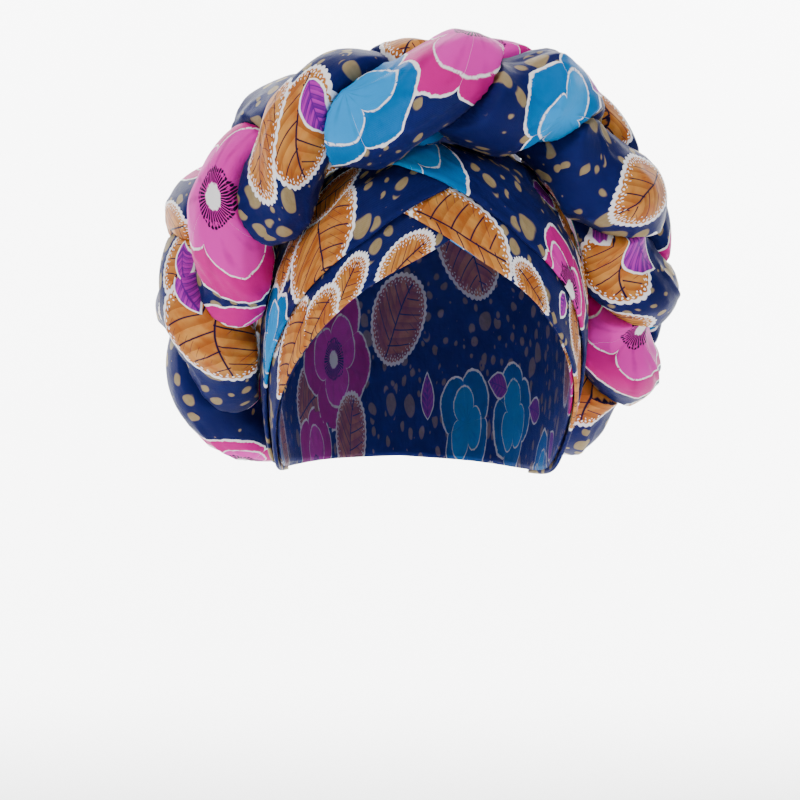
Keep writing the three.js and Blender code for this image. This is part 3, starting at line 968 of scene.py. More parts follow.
        route = centre + across * middle[:, :1] + raised * middle[:, 1:]
        run = np.concatenate(([0.0], np.cumsum(np.linalg.norm(np.diff(route, axis=0), axis=1))))
        girth = np.pi * self.tube_diameter
        u = run[:, None] + 0 * angle[None, :]
        v = np.broadcast_to(np.arange(self.sides) * girth / self.sides, u.shape)
        sway = np.abs(middle[:, :1]) / (self.swing * taper[:, None])
        pressed = pressed + looseness * self.softness(u, v, girth, sway, index) * taper[:, None]
        pinched = ease(squeeze, 0.5, 0.88) * (1 - ease(squeeze, 0.97, 1.0))
        pressed = pressed - pinched * self.puckers(u, v, girth, index) * taper[:, None]

        level_ray = self._levelled(ray[None], line, across, raised)
        level_middle = self._levelled(middle[:, None], line, across, raised)
        to_seat = self._reach_to_seat(level_middle, level_ray, floor[:, None])
        pressed = np.minimum(np.minimum(pressed, np.minimum(*walls)), to_seat)
        reach = pressed * np.sqrt(1 - (1 - rounding[:, None]) ** 2)
        section = middle[:, None] + ray[None] * reach[..., None]
        points = centre[:, None] + across[:, None] * section[..., :1] + raised[:, None] * section[..., 1:]
        return self._closed(points, run, girth)

    def _reach_halfway(self, middle: Array, other: Array, ray: Array) -> Array:
        """How far a ray runs from a tube's middle to the wall between it and another tube.

        The wall stands square to the line between the two middles, half a gap short of halfway, at a
        distance d, so a ray at an angle t to that line meets it at d / cos(t).

        Args:
            middle: The tube's middle in the section, for each station.
            other: The other tube's middle.
            ray: The direction of each ray.

        Returns:
            The reach, very large where the ray points away.
        """
        towards = unit(other - middle)
        distance = np.linalg.norm(other - middle, axis=1) / 2 - self.tube_gap / 2
        facing = towards @ ray.T
        return np.where(facing > 0.01, distance[:, None] / np.maximum(facing, 0.01), NO_LIMIT)

    def softness(self, u: Array, v: Array, girth: float, sway: Array, index: int) -> Array:
        """Dents and creases of the stuffed cloth, in millimetres outwards.

        Broad dents are ripples, and creases run along the tube and stand up most where it bends over
        the plait's edge.

        Args:
            u: Millimetres along the tube.
            v: Millimetres round it.
            girth: Its length round.
            sway: How near the plait's edge it is, from 0 to 1.
            index: Which tube.

        Returns:
            The height of the surface.
        """
        seed = 60 + 10 * index
        dents = 0.8 * ripple(u, v, 42, 30, seed, girth) + 0.35 * ripple(u, v, 17, 15, seed + 1, girth)
        wander = v + 7 * ripple(u, v, 38, 50, seed + 2, girth)
        creases = crease(u, wander, 46, 10.5, seed + 3, girth) * ease(sway, 0.35, 0.95)
        fine = crease(u, wander, 24, 6.2, seed + 4, girth) * ease(sway, 0.55, 1.0)
        ridges = self.crease_height * creases + self.fine_crease_height * fine
        return self.dent_height * dents + ridges - self.slack

    def puckers(self, u: Array, v: Array, girth: float, index: int) -> Array:
        """Small gathers, as depths in millimetres, where a tube dives under its neighbour.

        Args:
            u: Millimetres along the tube.
            v: Millimetres round it.
            girth: Its length round.
            index: Which tube.

        Returns:
            How far the cloth is drawn in.
        """
        wander = v + 4 * ripple(u, v, 22, 26, 90 + index, girth)
        uneven = 0.6 + 0.4 * ripple(u, v, 18, 18, 99, girth)
        return self.pucker_depth * crease(u, wander, 30, 6.0, 95 + index, girth) * uneven

    def _levelled(self, section: Array, line: PlaitLine, across: Array, raised: Array) -> Array:
        """The same section coordinates measured square to the head, without the lean.

        Args:
            section: Across and raised, for each station and ray.
            line: The line that the plait follows.
            across: The section's own direction across.
            raised: Its direction off the head.

        Returns:
            How far along line.front and line.up.
        """
        x, y = section[..., 0], section[..., 1]
        along_front = x * dot(across, line.front)[:, None] + y * dot(raised, line.front)[:, None]
        along_up = x * dot(across, line.up)[:, None] + y * dot(raised, line.up)[:, None]
        return np.stack((along_front, along_up), axis=-1)

    def _reach_to_seat(self, middle: Array, ray: Array, floor: Array) -> Array:
        """How far a ray runs from a tube's middle before it meets the seat.

        The seat is y = floor - x^2/2R, so the reach is the nearer root of a quadratic.

        Args:
            middle: The tube's middle in the section.
            ray: The direction of each ray.
            floor: Height of the seat at the plait's middle.

        Returns:
            The reach, very large where the ray points away.
        """
        radius = self.seat_roundness
        fall = ray[..., 0] ** 2 / (2 * radius)
        slope = ray[..., 1] + middle[..., 0] * ray[..., 0] / radius
        clearance = middle[..., 1] - floor + middle[..., 0] ** 2 / (2 * radius)
        inside = slope**2 - 4 * fall * clearance
        meets = (slope < 0) & (inside > 0)
        reach = 2 * clearance / np.maximum(-slope + np.sqrt(np.maximum(inside, 0)), 1e-6)
        return np.where(meets, reach, NO_LIMIT)

    @staticmethod
    def _closed(points: Array, run: Array, girth: float) -> Surface:
        """Closes a tube's grid of points round its girth and at both ends.

        Args:
            points: A ring of points for each station.
            run: Millimetres along the tube to each station.
            girth: Its length round.

        Returns:
            The closed tube.
        """
        rings, sides = points.shape[:2]
        number = np.arange(rings * sides).reshape(rings, sides)
        number = np.concatenate((number, number[:, :1]), axis=1)
        v = np.arange(sides + 1) * girth / sides
        flat = np.stack((run[:, None] + 0 * v, v[None, :] + 0 * run[:, None]), axis=-1)
        start = np.arange(0, sides, 2)
        corner = np.stack((start, start + 1, start + 2, start + 1), axis=-1)
        first, last = fan_faces(number[0], rings * sides), fan_faces(number[-1], rings * sides + 1)
        hubs = np.stack((points[0].mean(axis=0), points[-1].mean(axis=0)))
        return Surface(
            np.concatenate((points.reshape(-1, 3), hubs)),
            np.concatenate((grid_faces(number), first, last[:, ::-1])),
            np.concatenate((grid_corners(flat), flat[0][corner], flat[-1][corner][:, ::-1])),
        )


class Term:
    """One number in a material's formula. Sums and products of terms become math nodes."""

    def __init__(self, tree: bpy.types.NodeTree, socket: bpy.types.NodeSocket) -> None:
        """Keeps the node tree and the output that gives the number."""
        self.tree = tree
        self.socket = socket

    def _math(self, operation: str, *others: "Term | float") -> "Term":
        """A math node on this term and the others.

        Args:
            operation: What it works out.
            others: Its further inputs.

        Returns:
            The node's result.
        """
        node = self.tree.nodes.new("ShaderNodeMath")
        node.operation = operation
        for slot, value in zip(node.inputs, (self, *others)):
            if isinstance(value, Term):
                self.tree.links.new(value.socket, slot)
            else:
                slot.default_value = value
        return Term(self.tree, node.outputs[0])

    def __add__(self, other: "Term | float") -> "Term":
        """The sum."""
        return self._math("ADD", other)

    def __sub__(self, other: "Term | float") -> "Term":
        """The difference."""
        return self._math("SUBTRACT", other)

    def __mul__(self, other: "Term | float") -> "Term":
        """The product."""
        return self._math("MULTIPLY", other)

    def __truediv__(self, other: "Term | float") -> "Term":
        """The quotient."""
        return self._math("DIVIDE", other)

    def __pow__(self, other: float) -> "Term":
        """The power."""
        return self._math("POWER", other)

    __radd__ = __add__
    __rmul__ = __mul__

    def taken_from(self, other: float) -> "Term":
        """The other number less this one."""
        return self * -1.0 + other

    def size(self) -> "Term":
        """The number without its sign."""
        return self._math("ABSOLUTE")

    def sine(self) -> "Term":
        """The sine of an angle in radians."""
        return self._math("SINE")

    def fraction(self) -> "Term":
        """What is left over after the whole numbers."""
        return self._math("FRACT")

    def over_and(self, other: "Term") -> "Term":
        """The length of the vector whose two parts are this term and the other."""
        return (self * self + other * other)._math("SQRT")

    def angle_from(self, other: "Term") -> "Term":
        """The angle whose rise is this term and whose run is the other, in radians."""
        return self._math("ARCTAN2", other)

    def most(self, other: "Term | float") -> "Term":
        """The larger of the two."""
        return self._math("MAXIMUM", other)

    def step(self, low: float, high: float) -> "Term":
        """Eases from 0 at low to 1 at high, or back where high is the lower.

        Args:
            low: Where it is 0.
            high: Where it is 1.

        Returns:
            The eased number.
        """
        node = self.tree.nodes.new("ShaderNodeMapRange")
        node.interpolation_type = "SMOOTHSTEP"
        self.tree.links.new(self.socket, node.inputs["Value"])
        node.inputs["From Min"].default_value = low
        node.inputs["From Max"].default_value = high
        return Term(self.tree, node.outputs[0])

    def line(self, half_width: float, soft: float) -> "Term":
        """1 within a half width of where the number is 0, with a soft edge."""
        return self.size().step(half_width + soft, half_width - soft)


Colour = tuple[float, float, float]


def paint(code: str) -> Colour:
    """A colour from its hexadecimal code, made linear with the power 2.2."""
    return tuple((int(code[k : k + 2], 16) / 255) ** 2.2 for k in (0, 2, 4))


@dataclass(frozen=True)
class Inks:
    """The colours of the print."""

    ground: Colour = paint("15194a")
    ground_light: Colour = paint("1a2460")
    pebble: Colour = paint("9d8a69")
    pebble_dark: Colour = paint("8b7855")
    leaf: Colour = paint("b5682f")
    leaf_light: Colour = paint("cf8c45")
    leaf_dark: Colour = paint("8a461f")
    vein: Colour = paint("1b1236")
    white: Colour = paint("fbf7fa")
    poppy: Colour = paint("c80484")
    poppy_light: Colour = paint("e02fae")
    poppy_dark: Colour = paint("930a5f")
    blue: Colour = paint("0069ac")
    blue_light: Colour = paint("1494df")
    blue_dark: Colour = paint("034a80")
    stamen: Colour = paint("1a0d2e")
    bud: Colour = paint("b52fae")
    bud_dark: Colour = paint("5e1382")

    def faded(self, share: float) -> "Inks":
        """The same print as it shows through on the reverse, with every colour nearer the ground.

        Args:
            share: How far each colour moves towards the ground.

        Returns:
            The faded inks.
        """
        mixed = {
            field.name: tuple(lerp(np.array(getattr(self, field.name)), np.array(self.ground_light), share))
            for field in fields(self)
        }
        return Inks(**mixed)


class Painter:
    """Draws the print as a formula: each layer is blended over the colour so far."""

    def __init__(self, material: bpy.types.Material, inks: Inks) -> None:
        """Starts on a material's empty tree.

        Args:
            material: The material, whose nodes are replaced.
            inks: The print's colours.
        """
        self.tree = material.node_tree
        self.inks = inks
        self.tree.nodes.clear()
        place = self.tree.nodes.new("ShaderNodeUVMap")
        place.uv_map = "cloth"
        self.cloth = place.outputs[0]

    def link(self, start: bpy.types.NodeSocket, end: bpy.types.NodeSocket) -> None:
        """Wires an output to an input."""
        self.tree.links.new(start, end)

    def noise(self, scale: float, detail: float = 2.0, rough: float = 0.5) -> Term:
        """Soft noise from 0 to 1 over the cloth.

        Args:
            scale: Hills in a metre.
            detail: How many finer layers are added.
            rough: How strong each finer layer is.

        Returns:
            The noise.
        """
        node = self.tree.nodes.new("ShaderNodeTexNoise")
        node.noise_dimensions = "2D"
        self.link(self.cloth, node.inputs["Vector"])
        node.inputs["Scale"].default_value = scale
        node.inputs["Detail"].default_value = detail
        node.inputs["Roughness"].default_value = rough
        return Term(self.tree, node.outputs[0])

    def places(self, kind: Print) -> tuple[Term, Term, Term]:
        """A layer's place in its motif and the motif's reach.

        Args:
            kind: The layer.

        Returns:
            Along, across and reach, in millimetres.
        """
        node = self.tree.nodes.new("ShaderNodeAttribute")
        node.attribute_name = kind.value
        parts = self.tree.nodes.new("ShaderNodeSeparateXYZ")
        self.link(node.outputs["Vector"], parts.inputs[0])
        return tuple(Term(self.tree, out) for out in parts.outputs)

    def blend(
        self, share: Term, under: bpy.types.NodeSocket | Colour, over: bpy.types.NodeSocket | Colour
    ) -> bpy.types.NodeSocket:
        """A share of one colour over another.

        Args:
            share: How much of the upper colour.
            under: The lower colour.
            over: The upper colour.

        Returns:
            The blended colour's output.
        """
        node = self.tree.nodes.new("ShaderNodeMix")
        node.data_type = "RGBA"
        self.link(share.socket, node.inputs["Factor"])
        for slot, value in ((node.inputs[6], under), (node.inputs[7], over)):
            if isinstance(value, tuple):
                slot.default_value = (*value, 1.0)
            else:
                self.link(value, slot)
        return node.outputs[2]

    def voronoi(self, vector: bpy.types.NodeSocket, scale: float) -> tuple[Term, Term]:
        """Scattered points, as cells round them.

        Args:
            vector: The places to look from.
            scale: Cells in a metre.

        Returns:
            The distance to the nearest point, in cells, and a random number for that point.
        """
        node = self.tree.nodes.new("ShaderNodeTexVoronoi")
        node.voronoi_dimensions = "2D"
        node.inputs["Scale"].default_value = scale
        node.inputs["Randomness"].default_value = 0.85
        self.link(vector, node.inputs["Vector"])
        parts = self.tree.nodes.new("ShaderNodeSeparateXYZ")
        self.link(node.outputs["Color"], parts.inputs[0])
        return Term(self.tree, node.outputs["Distance"]), Term(self.tree, parts.outputs[0])

    def bent_cloth(self, amount: float, scale: float) -> bpy.types.NodeSocket:
        """Places on the cloth pushed about by noise, so round shapes come out as beans.

        Args:
            amount: How far, in metres.
            scale: Hills of the noise in a metre.

        Returns:
            The pushed places.
        """
        node = self.tree.nodes.new("ShaderNodeTexNoise")
        node.noise_dimensions = "2D"
        self.link(self.cloth, node.inputs["Vector"])
        node.inputs["Scale"].default_value = scale
        node.inputs["Detail"].default_value = 1.0
        push = self.tree.nodes.new("ShaderNodeVectorMath")
        push.operation = "MULTIPLY_ADD"
        self.link(node.outputs["Color"], push.inputs[0])
        push.inputs[1].default_value = (amount, amount, 0.0)
        self.link(self.cloth, push.inputs[2])
        return push.outputs[0]

    def ground(self) -> bpy.types.NodeSocket:
        """Navy ground with tan pebbles of two sizes.

        A pebble is where the distance to a scattered point is under a random share of a cell, and
        the cloth's places are bent first so that it isn't round.

        Returns:
            The ground's colour.
        """
        navy = self.blend(self.noise(26.0, 3.0), self.inks.ground, self.inks.ground_light)
        large, pick = self.voronoi(self.bent_cloth(0.009, 48.0), 50.0)
        past = large - (pick * 0.56 - 0.24)
        small, choice = self.voronoi(self.bent_cloth(0.004, 95.0), 105.0)
        little = (small - (choice * 0.5 - 0.14)).step(0.05, -0.05) * past.step(0.1, 0.16)
        big = past.step(0.025, -0.025)
        tone = self.blend(self.noise(400.0, 2.0), self.inks.pebble, self.inks.pebble_dark)
        return self.blend(big.most(little), navy, tone)

    def leaf(self, under: bpy.types.NodeSocket, kind: Print) -> bpy.types.NodeSocket:
        """A broad ochre leaf with a scalloped white border, dots inside it and curved dark veins.

        Its outline is an oval, x^2 + (1.25 y)^2 = L^2, that bulges between notches as |sin(19 t)|. The
        side veins are where 2.6 (x - 0.5|y| - 0.013 y^2) / L, with a step between the two halves,
        passes a whole number and a half.

        Args:
            under: The colour so far.
            kind: Which of the two leaf layers.

        Returns:
            The colour with the leaf over it.
        """
        x, y, reach = self.places(kind)
        inks = self.inks
        oval = x.over_and(y * 1.25)
        turn = (y * 1.25).angle_from(x)
        wobble = self.noise(190.0, 2.0) - 0.5
        scallop = (turn * 19.0).sine().size()
        inset = reach - oval + scallop * 1.1 + wobble * 1.4
        side = y.size()
        bowed = y + (x / reach * 2.2).sine() * 1.6
        arc = (x - side * 0.5 - side * side * 0.013 + (y / side.most(0.01)) * 1.7) / reach * 2.6
        saw = arc.fraction()
        tone = self.noise(95.0, 3.0).step(0.3, 0.72)
        body = self.blend(tone, inks.leaf, inks.leaf_light)
        body = self.blend(saw.step(0.45, 0.98) * 0.55, body, inks.leaf_dark)
        inner = inset.step(4.6, 6.4)
        vein = (saw - 0.5).line(0.04, 0.02) * inner
        twig = ((arc * 2.0 + y * 0.16).fraction() - 0.5).line(0.03, 0.03) * inner * side.step(4.5, 6.5)
        twig = twig * self.noise(60.0, 1.0).step(0.5, 0.56)
        rib = bowed.line(0.5, 0.22) * inset.step(3.2, 5.0)
        body = self.blend(vein.most(rib).most(twig * 0.85), body, inks.vein)
        ring = (turn * 8.4).fraction() - 0.5
        dot = (ring * 2.7).over_and(inset - 4.0).step(0.78, 0.56)
        ring_two = (turn * 5.1 + 0.3).fraction() - 0.5
        dot_two = (ring_two * 4.2).over_and(inset - 6.0 + wobble * 2.0).step(0.55, 0.36)
        body = self.blend(dot.most(dot_two), body, inks.white)
        body = self.blend(inset.step(2.7, 2.2), body, inks.white)
        return self.blend(inset.step(-0.15, 0.15), under, body)

    def bloom(self, under: bpy.types.NodeSocket, kind: Print) -> bpy.types.NodeSocket:
        """A round-petalled bloom with brushed white outlines: a pink poppy, or a blue one.

        Its outline is r = L(0.74 + 0.24 |cos(2t)|^0.6), and a second, turned outline inside it,
        r = L(0.34 + 0.3 |sin(1.5t + 0.6)|^0.55), parts the upper petals from the lower. The poppy has
        a white middle and a ring of dark stamens, where 6.37 t leaves a fraction near a half.

        Args:
            under: The colour so far.
            kind: Which of the two bloom layers.

        Returns:
            The colour with the bloom over it.
        """
        x, y, reach = self.places(kind)
        inks = self.inks
        blue = reach.step(1.0, -1.0)
        size = reach.size()
        radius = x.over_and(y)
        turn = y.angle_from(x)
        wobble = self.noise(170.0, 3.0) - 0.5
        slow = self.noise(40.0, 1.0) - 0.5
        petals = (turn * 2.0 + 1.5708).sine().size() ** 0.6
        inset = size * (petals * 0.24 + 0.74) - radius + wobble * 2.2 + slow * 8.0
        inner_petals = (turn * 1.5 + 0.6).sine().size() ** 0.55
        inner = size * (inner_petals * 0.3 + 0.34) - radius + wobble * 1.6 + slow * 9.0
        streaks = self.noise(55.0, 3.0, 0.6)
        rays = ((turn * 13.0).sine() * 0.5 + 0.5) * streaks
        pink = self.blend(inner.step(-0.5, 0.5), inks.poppy, inks.poppy_light)
        pink = self.blend(rays.step(0.35, 0.9) * 0.6, pink, inks.poppy_dark)
        sea = self.blend(inner.step(-0.5, 0.5), inks.blue, inks.blue_light)
        sea = self.blend(rays.step(0.4, 0.9) * 0.5, sea, inks.blue_dark)
        body = self.blend(blue, pink, sea)
        brushed = self.noise(600.0, 2.0)
        body = self.blend((inner - 0.2).line(0.55, 0.35) * brushed.step(0.28, 0.42), body, inks.white)
        seam = (petals * size * 0.4).line(0.5, 0.3) * radius.step(9.0, 15.0) * 0.8
        body = self.blend(seam, body, inks.white)
        spoke = (turn * 6.37).fraction() - 0.5
        stroke = spoke.size().step(0.4, 0.28)
        reach_out = radius + (brushed - 0.5) * 5.0 + wobble * 3.0
        ring = reach_out.step(4.6, 5.6) * reach_out.step(11.0, 9.6)
        dots = spoke.over_and((radius - 11.0 + wobble * 6.0) * 0.5).step(0.5, 0.32)
        heart = (stroke * ring).most(dots) * blue.taken_from(1.0)
        body = self.blend(heart, body, inks.stamen)
        middle = (radius + (brushed - 0.5) * 2.4).step(5.4, 4.6) * blue.taken_from(1.0)
        body = self.blend(middle, body, inks.white)
        rim = (inset + (brushed - 0.5) * 1.3).step(1.9, 1.3)
        body = self.blend(rim, body, inks.white)
        return self.blend(inset.step(-0.15, 0.15), under, body)

    def bud(self, under: bpy.types.NodeSocket) -> bpy.types.NodeSocket:
        """A small pointed pink leaf with purple veins and a white outline.

        Its half width is 0.18 L (1 - s^2)(3 - s), with s = x/L, so it is fuller towards the stalk.

        Args:
            under: The colour so far.

        Returns:
            The colour with the leaf over it.
        """
        x, y, reach = self.places(Print.BUD)
        inks = self.inks
        s = x / reach
        half = (s * s).taken_from(1.0) * (s.taken_from(3.0).most(0.5) * 0.18) * reach
        wobble = self.noise(300.0, 2.0) - 0.5
        inset = (half - y.size()) * 0.85 + wobble * 0.8
        side = y.size()
        saw = ((x - side * 0.9) / reach * 3.4).fraction()
        body = self.blend(saw.step(0.0, 0.9), inks.bud, inks.bud_dark)
        body = self.blend(self.noise(120.0, 1.0).step(0.35, 0.65) * 0.6, body, inks.bud)
        veins = (saw - 0.5).line(0.07, 0.05).most(y.line(0.3, 0.2))
        body = self.blend(veins * inset.step(0.9, 1.6), body, inks.bud_dark)
        body = self.blend(inset.step(1.15, 0.8), body, inks.white)
        return self.blend(inset.step(-0.1, 0.1), under, body)


@dataclass(frozen=True)
class PrintedCotton:
    """A closely woven printed cotton, nearly without shine.

    Attributes:
        cloth: Which of the five cloths.
        reverse: Whether it is the reverse, where the print only shows through.
        roughness: How matt it is.
        shine: Strength of its reflections.
        sheen: Strength of the soft light along its edges.
        reverse_fading: How far the reverse's colours move towards the ground.
        thread: Threads in a metre.
        weave_depth: Height of the weave, in metres.
    """

    cloth: Cloth
    reverse: bool = False
    roughness: float = 0.5
    shine: float = 0.05
    sheen: float = 0.02
    reverse_fading: float = 0.72
    thread: float = 2100.0
    weave_depth: float = 0.00012

    def material(self) -> bpy.types.Material:
        """The finish as a node material: the print in layers, the weave and the sheen.

        Returns:
            The material, made once for each cloth and side.
        """
        name = f"{self.cloth.value}_{'reverse' if self.reverse else 'print'}"
        if name in bpy.data.materials:
            return bpy.data.materials[name]
        material = bpy.data.materials.new(name)
        material.use_nodes = True
        painter = Painter(material, Inks().faded(self.reverse_fading) if self.reverse else Inks())
        colour = painter.ground()
        colour = painter.leaf(colour, Print.BACK_LEAF)
        colour = painter.bloom(colour, Print.BACK_BLOOM)
        colour = painter.leaf(colour, Print.LEAF)
        colour = painter.bloom(colour, Print.BLOOM)
        colour = painter.bud(colour)
        tree = material.node_tree
        shader = tree.nodes.new("ShaderNodeBsdfPrincipled")
        shader.inputs["Specular IOR Level"].default_value = self.shine
        shader.inputs["Sheen Weight"].default_value = self.sheen
        shader.inputs["Sheen Roughness"].default_value = 0.45
        uneven = painter.noise(130.0, 3.0) * 0.12 + (self.roughness - 0.06)
        tree.links.new(uneven.socket, shader.inputs["Roughness"])
        tree.links.new(colour, shader.inputs["Base Color"])
        tree.links.new(self.weave(painter), shader.inputs["Normal"])
        output = tree.nodes.new("ShaderNodeOutputMaterial")
        tree.links.new(shader.outputs[0], output.inputs["Surface"])
        return material

    def weave(self, painter: Painter) -> bpy.types.NodeSocket:
        """Crossing threads as a bump: sin of one way times sin of the other, with slubs and faint rumples.

        Args:
            painter: Works on the material's nodes.

        Returns:
            The bumped normal.
        """
        parts = painter.tree.nodes.new("ShaderNodeSeparateXYZ")
        painter.link(painter.cloth, parts.inputs[0])
        along, across = (Term(painter.tree, parts.outputs[k]) for k in (0, 1))
        threads = (along * (self.thread * math.pi)).sine() * (across * (self.thread * math.pi)).sine()
        rumple = painter.noise(85.0, 4.0, 0.55)
        height = threads * 0.5 + painter.noise(900.0, 2.0) * 0.7 + rumple * 11.0
        bump = painter.tree.nodes.new("ShaderNodeBump")
        bump.inputs["Strength"].default_value = 0.5
        bump.inputs["Distance"].default_value = self.weave_depth
        painter.link(height.socket, bump.inputs["Height"])
        return bump.outputs[0]


# Where the larger printed things lie on the flat cloth of each piece, in millimetres and degrees
CHARTS: dict[str, tuple[Motif, ...]] = {
    "crown_cap": (
        # Kept free of prints so the crown shows dark through the gap between the plait and a fold: painted
        # shade
        Motif(Print.BARE, 48, 24, 0, 34),
    ),
    "low_wrap_right": (
        Motif(Print.LEAF, 71, 2, 167, 16),
        Motif(Print.BACK_LEAF, 107, 8, 140, 16),
        Motif(Print.LEAF, 130, 3, -26, 20),
        Motif(Print.LEAF, 159, 5, -27, 28),
        Motif(Print.LEAF, 275, 33, -103, 24),
        Motif(Print.BARE, 276, 13, -122, 16),
    ),
    "low_wrap_left": (
        Motif(Print.BARE, 238, 9, -148, 12),
        Motif(Print.LEAF, 56, 6, 7, 30),
        Motif(Print.LEAF, 100, 5, -13, 14),
        Motif(Print.BUD, 130, 16, -109, 9),
        Motif(Print.BACK_LEAF, 156, 18, -34, 16),
    ),
    "high_wrap_right": (
        Motif(Print.LEAF, 143, 51, -169, 20),
        Motif(Print.BACK_LEAF, 139, 20, -104, 30),
        Motif(Print.LEAF, 174, 35, -78, 16),
        Motif(Print.BARE, 97, 14, -147, 26),
        Motif(Print.BLOOM, 195, 4, 93, -30),
        Motif(Print.BARE, 296, 23, 70, 14),
    ),
    "high_wrap_left": (
        Motif(Print.BLOOM, 35, 12, -7, -42),
        Motif(Print.BARE, 88, 8, 36, 36),
        Motif(Print.BARE, 126, 25, 36, 12),
        Motif(Print.BLOOM, 147, 1, 120, 29),
    ),
    "plait_tube_a": (
        Motif(Print.BLOOM, 284, 50, -154, 56),
        Motif(Print.BLOOM, 638, 55, -27, 48),
        Motif(Print.BLOOM, 469, 30, 156, -33),
        Motif(Print.BARE, 417, 29, 26, 24),
        Motif(Print.BARE, 431, 43, 19, 16),
        Motif(Print.BARE, 258, 37, -72, 10),
        Motif(Print.BARE, 472, 45, 28, 18),
        Motif(Print.BARE, 523, 132, 0, 20),
    ),
    "plait_tube_b": (
        Motif(Print.LEAF, 336, 57, -141, 24),
        Motif(Print.BACK_LEAF, 359, 37, -119, 24),
        Motif(Print.BUD, 370, 38, -89, 13),
        Motif(Print.BARE, 321, 39, -43, 22),
        Motif(Print.BARE, 129, 24, -129, 24),
        Motif(Print.BLOOM, 96, 46, 152, 30),
        Motif(Print.BACK_BLOOM, 600, 33, 171, 24),
        Motif(Print.LEAF, 556, 52, -103, 22),
        Motif(Print.BARE, 510, 24, 51, 26),
        Motif(Print.BARE, 530, 39, 43, 14),
        Motif(Print.LEAF, 708, 32, 11, 26),
        Motif(Print.LEAF, 240, 62, 159, 22),
        Motif(Print.BARE, 383, 60, -17, 22),
    ),
    "plait_tube_c": (
        Motif(Print.BARE, 148, 48, -61, 26),
        Motif(Print.BUD, 581, 31, 54, 9),
        Motif(Print.BLOOM, 372, 53, -34, -38),
        Motif(Print.BARE, 406, 35, -23, 18),
        Motif(Print.BARE, 380, 13, -45, 14),
        Motif(Print.BACK_BLOOM, 439, 62, -162, 47),
        Motif(Print.LEAF, 597, 42, -4, 27),
        Motif(Print.BUD, 602, 53, 30, 19),
        Motif(Print.LEAF, 200, 35, 178, 34),
        Motif(Print.BUD, 223, 48, -135, 12),
        Motif(Print.BUD, 234, 56, -139, 10),
        Motif(Print.BACK_LEAF, 234, 55, -179, 20),
        Motif(Print.LEAF, 540, 50, -57, 20),
        Motif(Print.BARE, 299, 73, -55, 20),
    ),
}


def scattered(
    area: tuple[float, float, float, float], seed: int, spacing: float, clear_of: list[Motif]
) -> list[Motif]:
    """Motifs in a loose repeat over the parts of a cloth that have none yet.

    Places are the corners of a grid, pushed about at random, and each takes the next kind of the
    repeat. A place near a motif that is already there is left free.

    Args:
        area: Lowest and highest place along, then lowest and highest across.
        seed: Which random numbers.
        spacing: Distance between two places.
        clear_of: Motifs that are there already.

    Returns:
        The new motifs.
    """
    rng = np.random.default_rng(seed)
    low, high, near, far = area
    jitter, crowding = 0.25 * spacing, 0.8
    repeat = (
        (Print.BACK_LEAF, 28.0), (Print.BACK_BLOOM, 42.0), (Print.LEAF, 27.0), (Print.BARE, 18.0),
        (Print.BUD, 14.0), (Print.BACK_BLOOM, -34.0), (Print.LEAF, 25.0), (Print.BARE, 20.0),
    )
    found = []
    count = int(rng.integers(0, len(repeat)))
    for along in np.arange(low, high + 1, spacing):
        for across in np.arange(near, far + 1, spacing):
            kind, reach = repeat[count % len(repeat)]
            count += 1
            u = float(along + rng.uniform(-1, 1) * jitter)
            v = float(across + rng.uniform(-1, 1) * jitter)
            taken = any(
                math.hypot(u - m.along, v - m.across) < crowding * (abs(m.reach) + abs(reach))
                for m in clear_of
            )
            if not taken:
                found.append(Motif(kind, u, v, float(rng.uniform(-180, 180)), reach))
    return found


@dataclass
class HeadWrap:
    """The crown and the four folds, built from the wrap's surfaces and dressed in printed cotton.

    Attributes:
        wrap: Their shapes.
        line: The plait's line, where the crown is gathered.
        crown_reach: How far from its middle the crown's cloth is printed.
        crown_spacing: Distance between the things printed on the crown.
        crown_seed: Which random places they have.
        fold_spacing: Distance between the things printed on a fold.
    """

    wrap: Wrap
    line: PlaitLine
    crown_reach: float = 230.0
    crown_spacing: float = 54.0
    crown_seed: int = 7
    fold_spacing: float = 46.0

    def make_crown(self) -> bpy.types.Object:
        """The crown, stretched over the head form, in place of its solid.

        Returns:
            The crown's object.
        """
        surface = self.wrap.crown_surface(self.line.foot[::6])
        square = (-self.crown_reach, self.crown_reach, -self.crown_reach, self.crown_reach)
        motifs = scattered(square, self.crown_seed, self.crown_spacing, list(CHARTS["crown_cap"]))
        piece = surface.build("crown_cap", motifs)
        piece.data.materials.append(PrintedCotton(Cloth.CROWN).material())
        piece.data.materials.append(PrintedCotton(Cloth.CROWN, reverse=True).material())
        area = surface.cloth_area()
        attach(piece, "root")
        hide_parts("crown")
        return piece

    def make_fold(self, layer: int) -> bpy.types.Object:
        """One fold in place of its solid.

        Args:
            layer: Which fold, from the head outwards.

        Returns:
            The fold's object.
        """
        cut = self.wrap.folds[layer]
        surface = self.wrap.fold_surface(layer)
        charted = list(CHARTS[cut.name])
        length, width = surface.flat[..., 0].max(), surface.flat[..., 1].max()
        motifs = charted + scattered((0, length, 0, width), cut.seed, self.fold_spacing, charted)
        piece = surface.build(cut.name, motifs)
        piece.data.materials.append(PrintedCotton(cut.cloth).material())
        area = surface.cloth_area()
        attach(piece, "root")
        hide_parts(cut.node)
        length, width = length * METRES, width * METRES
        min(area, width * length)
        return piece


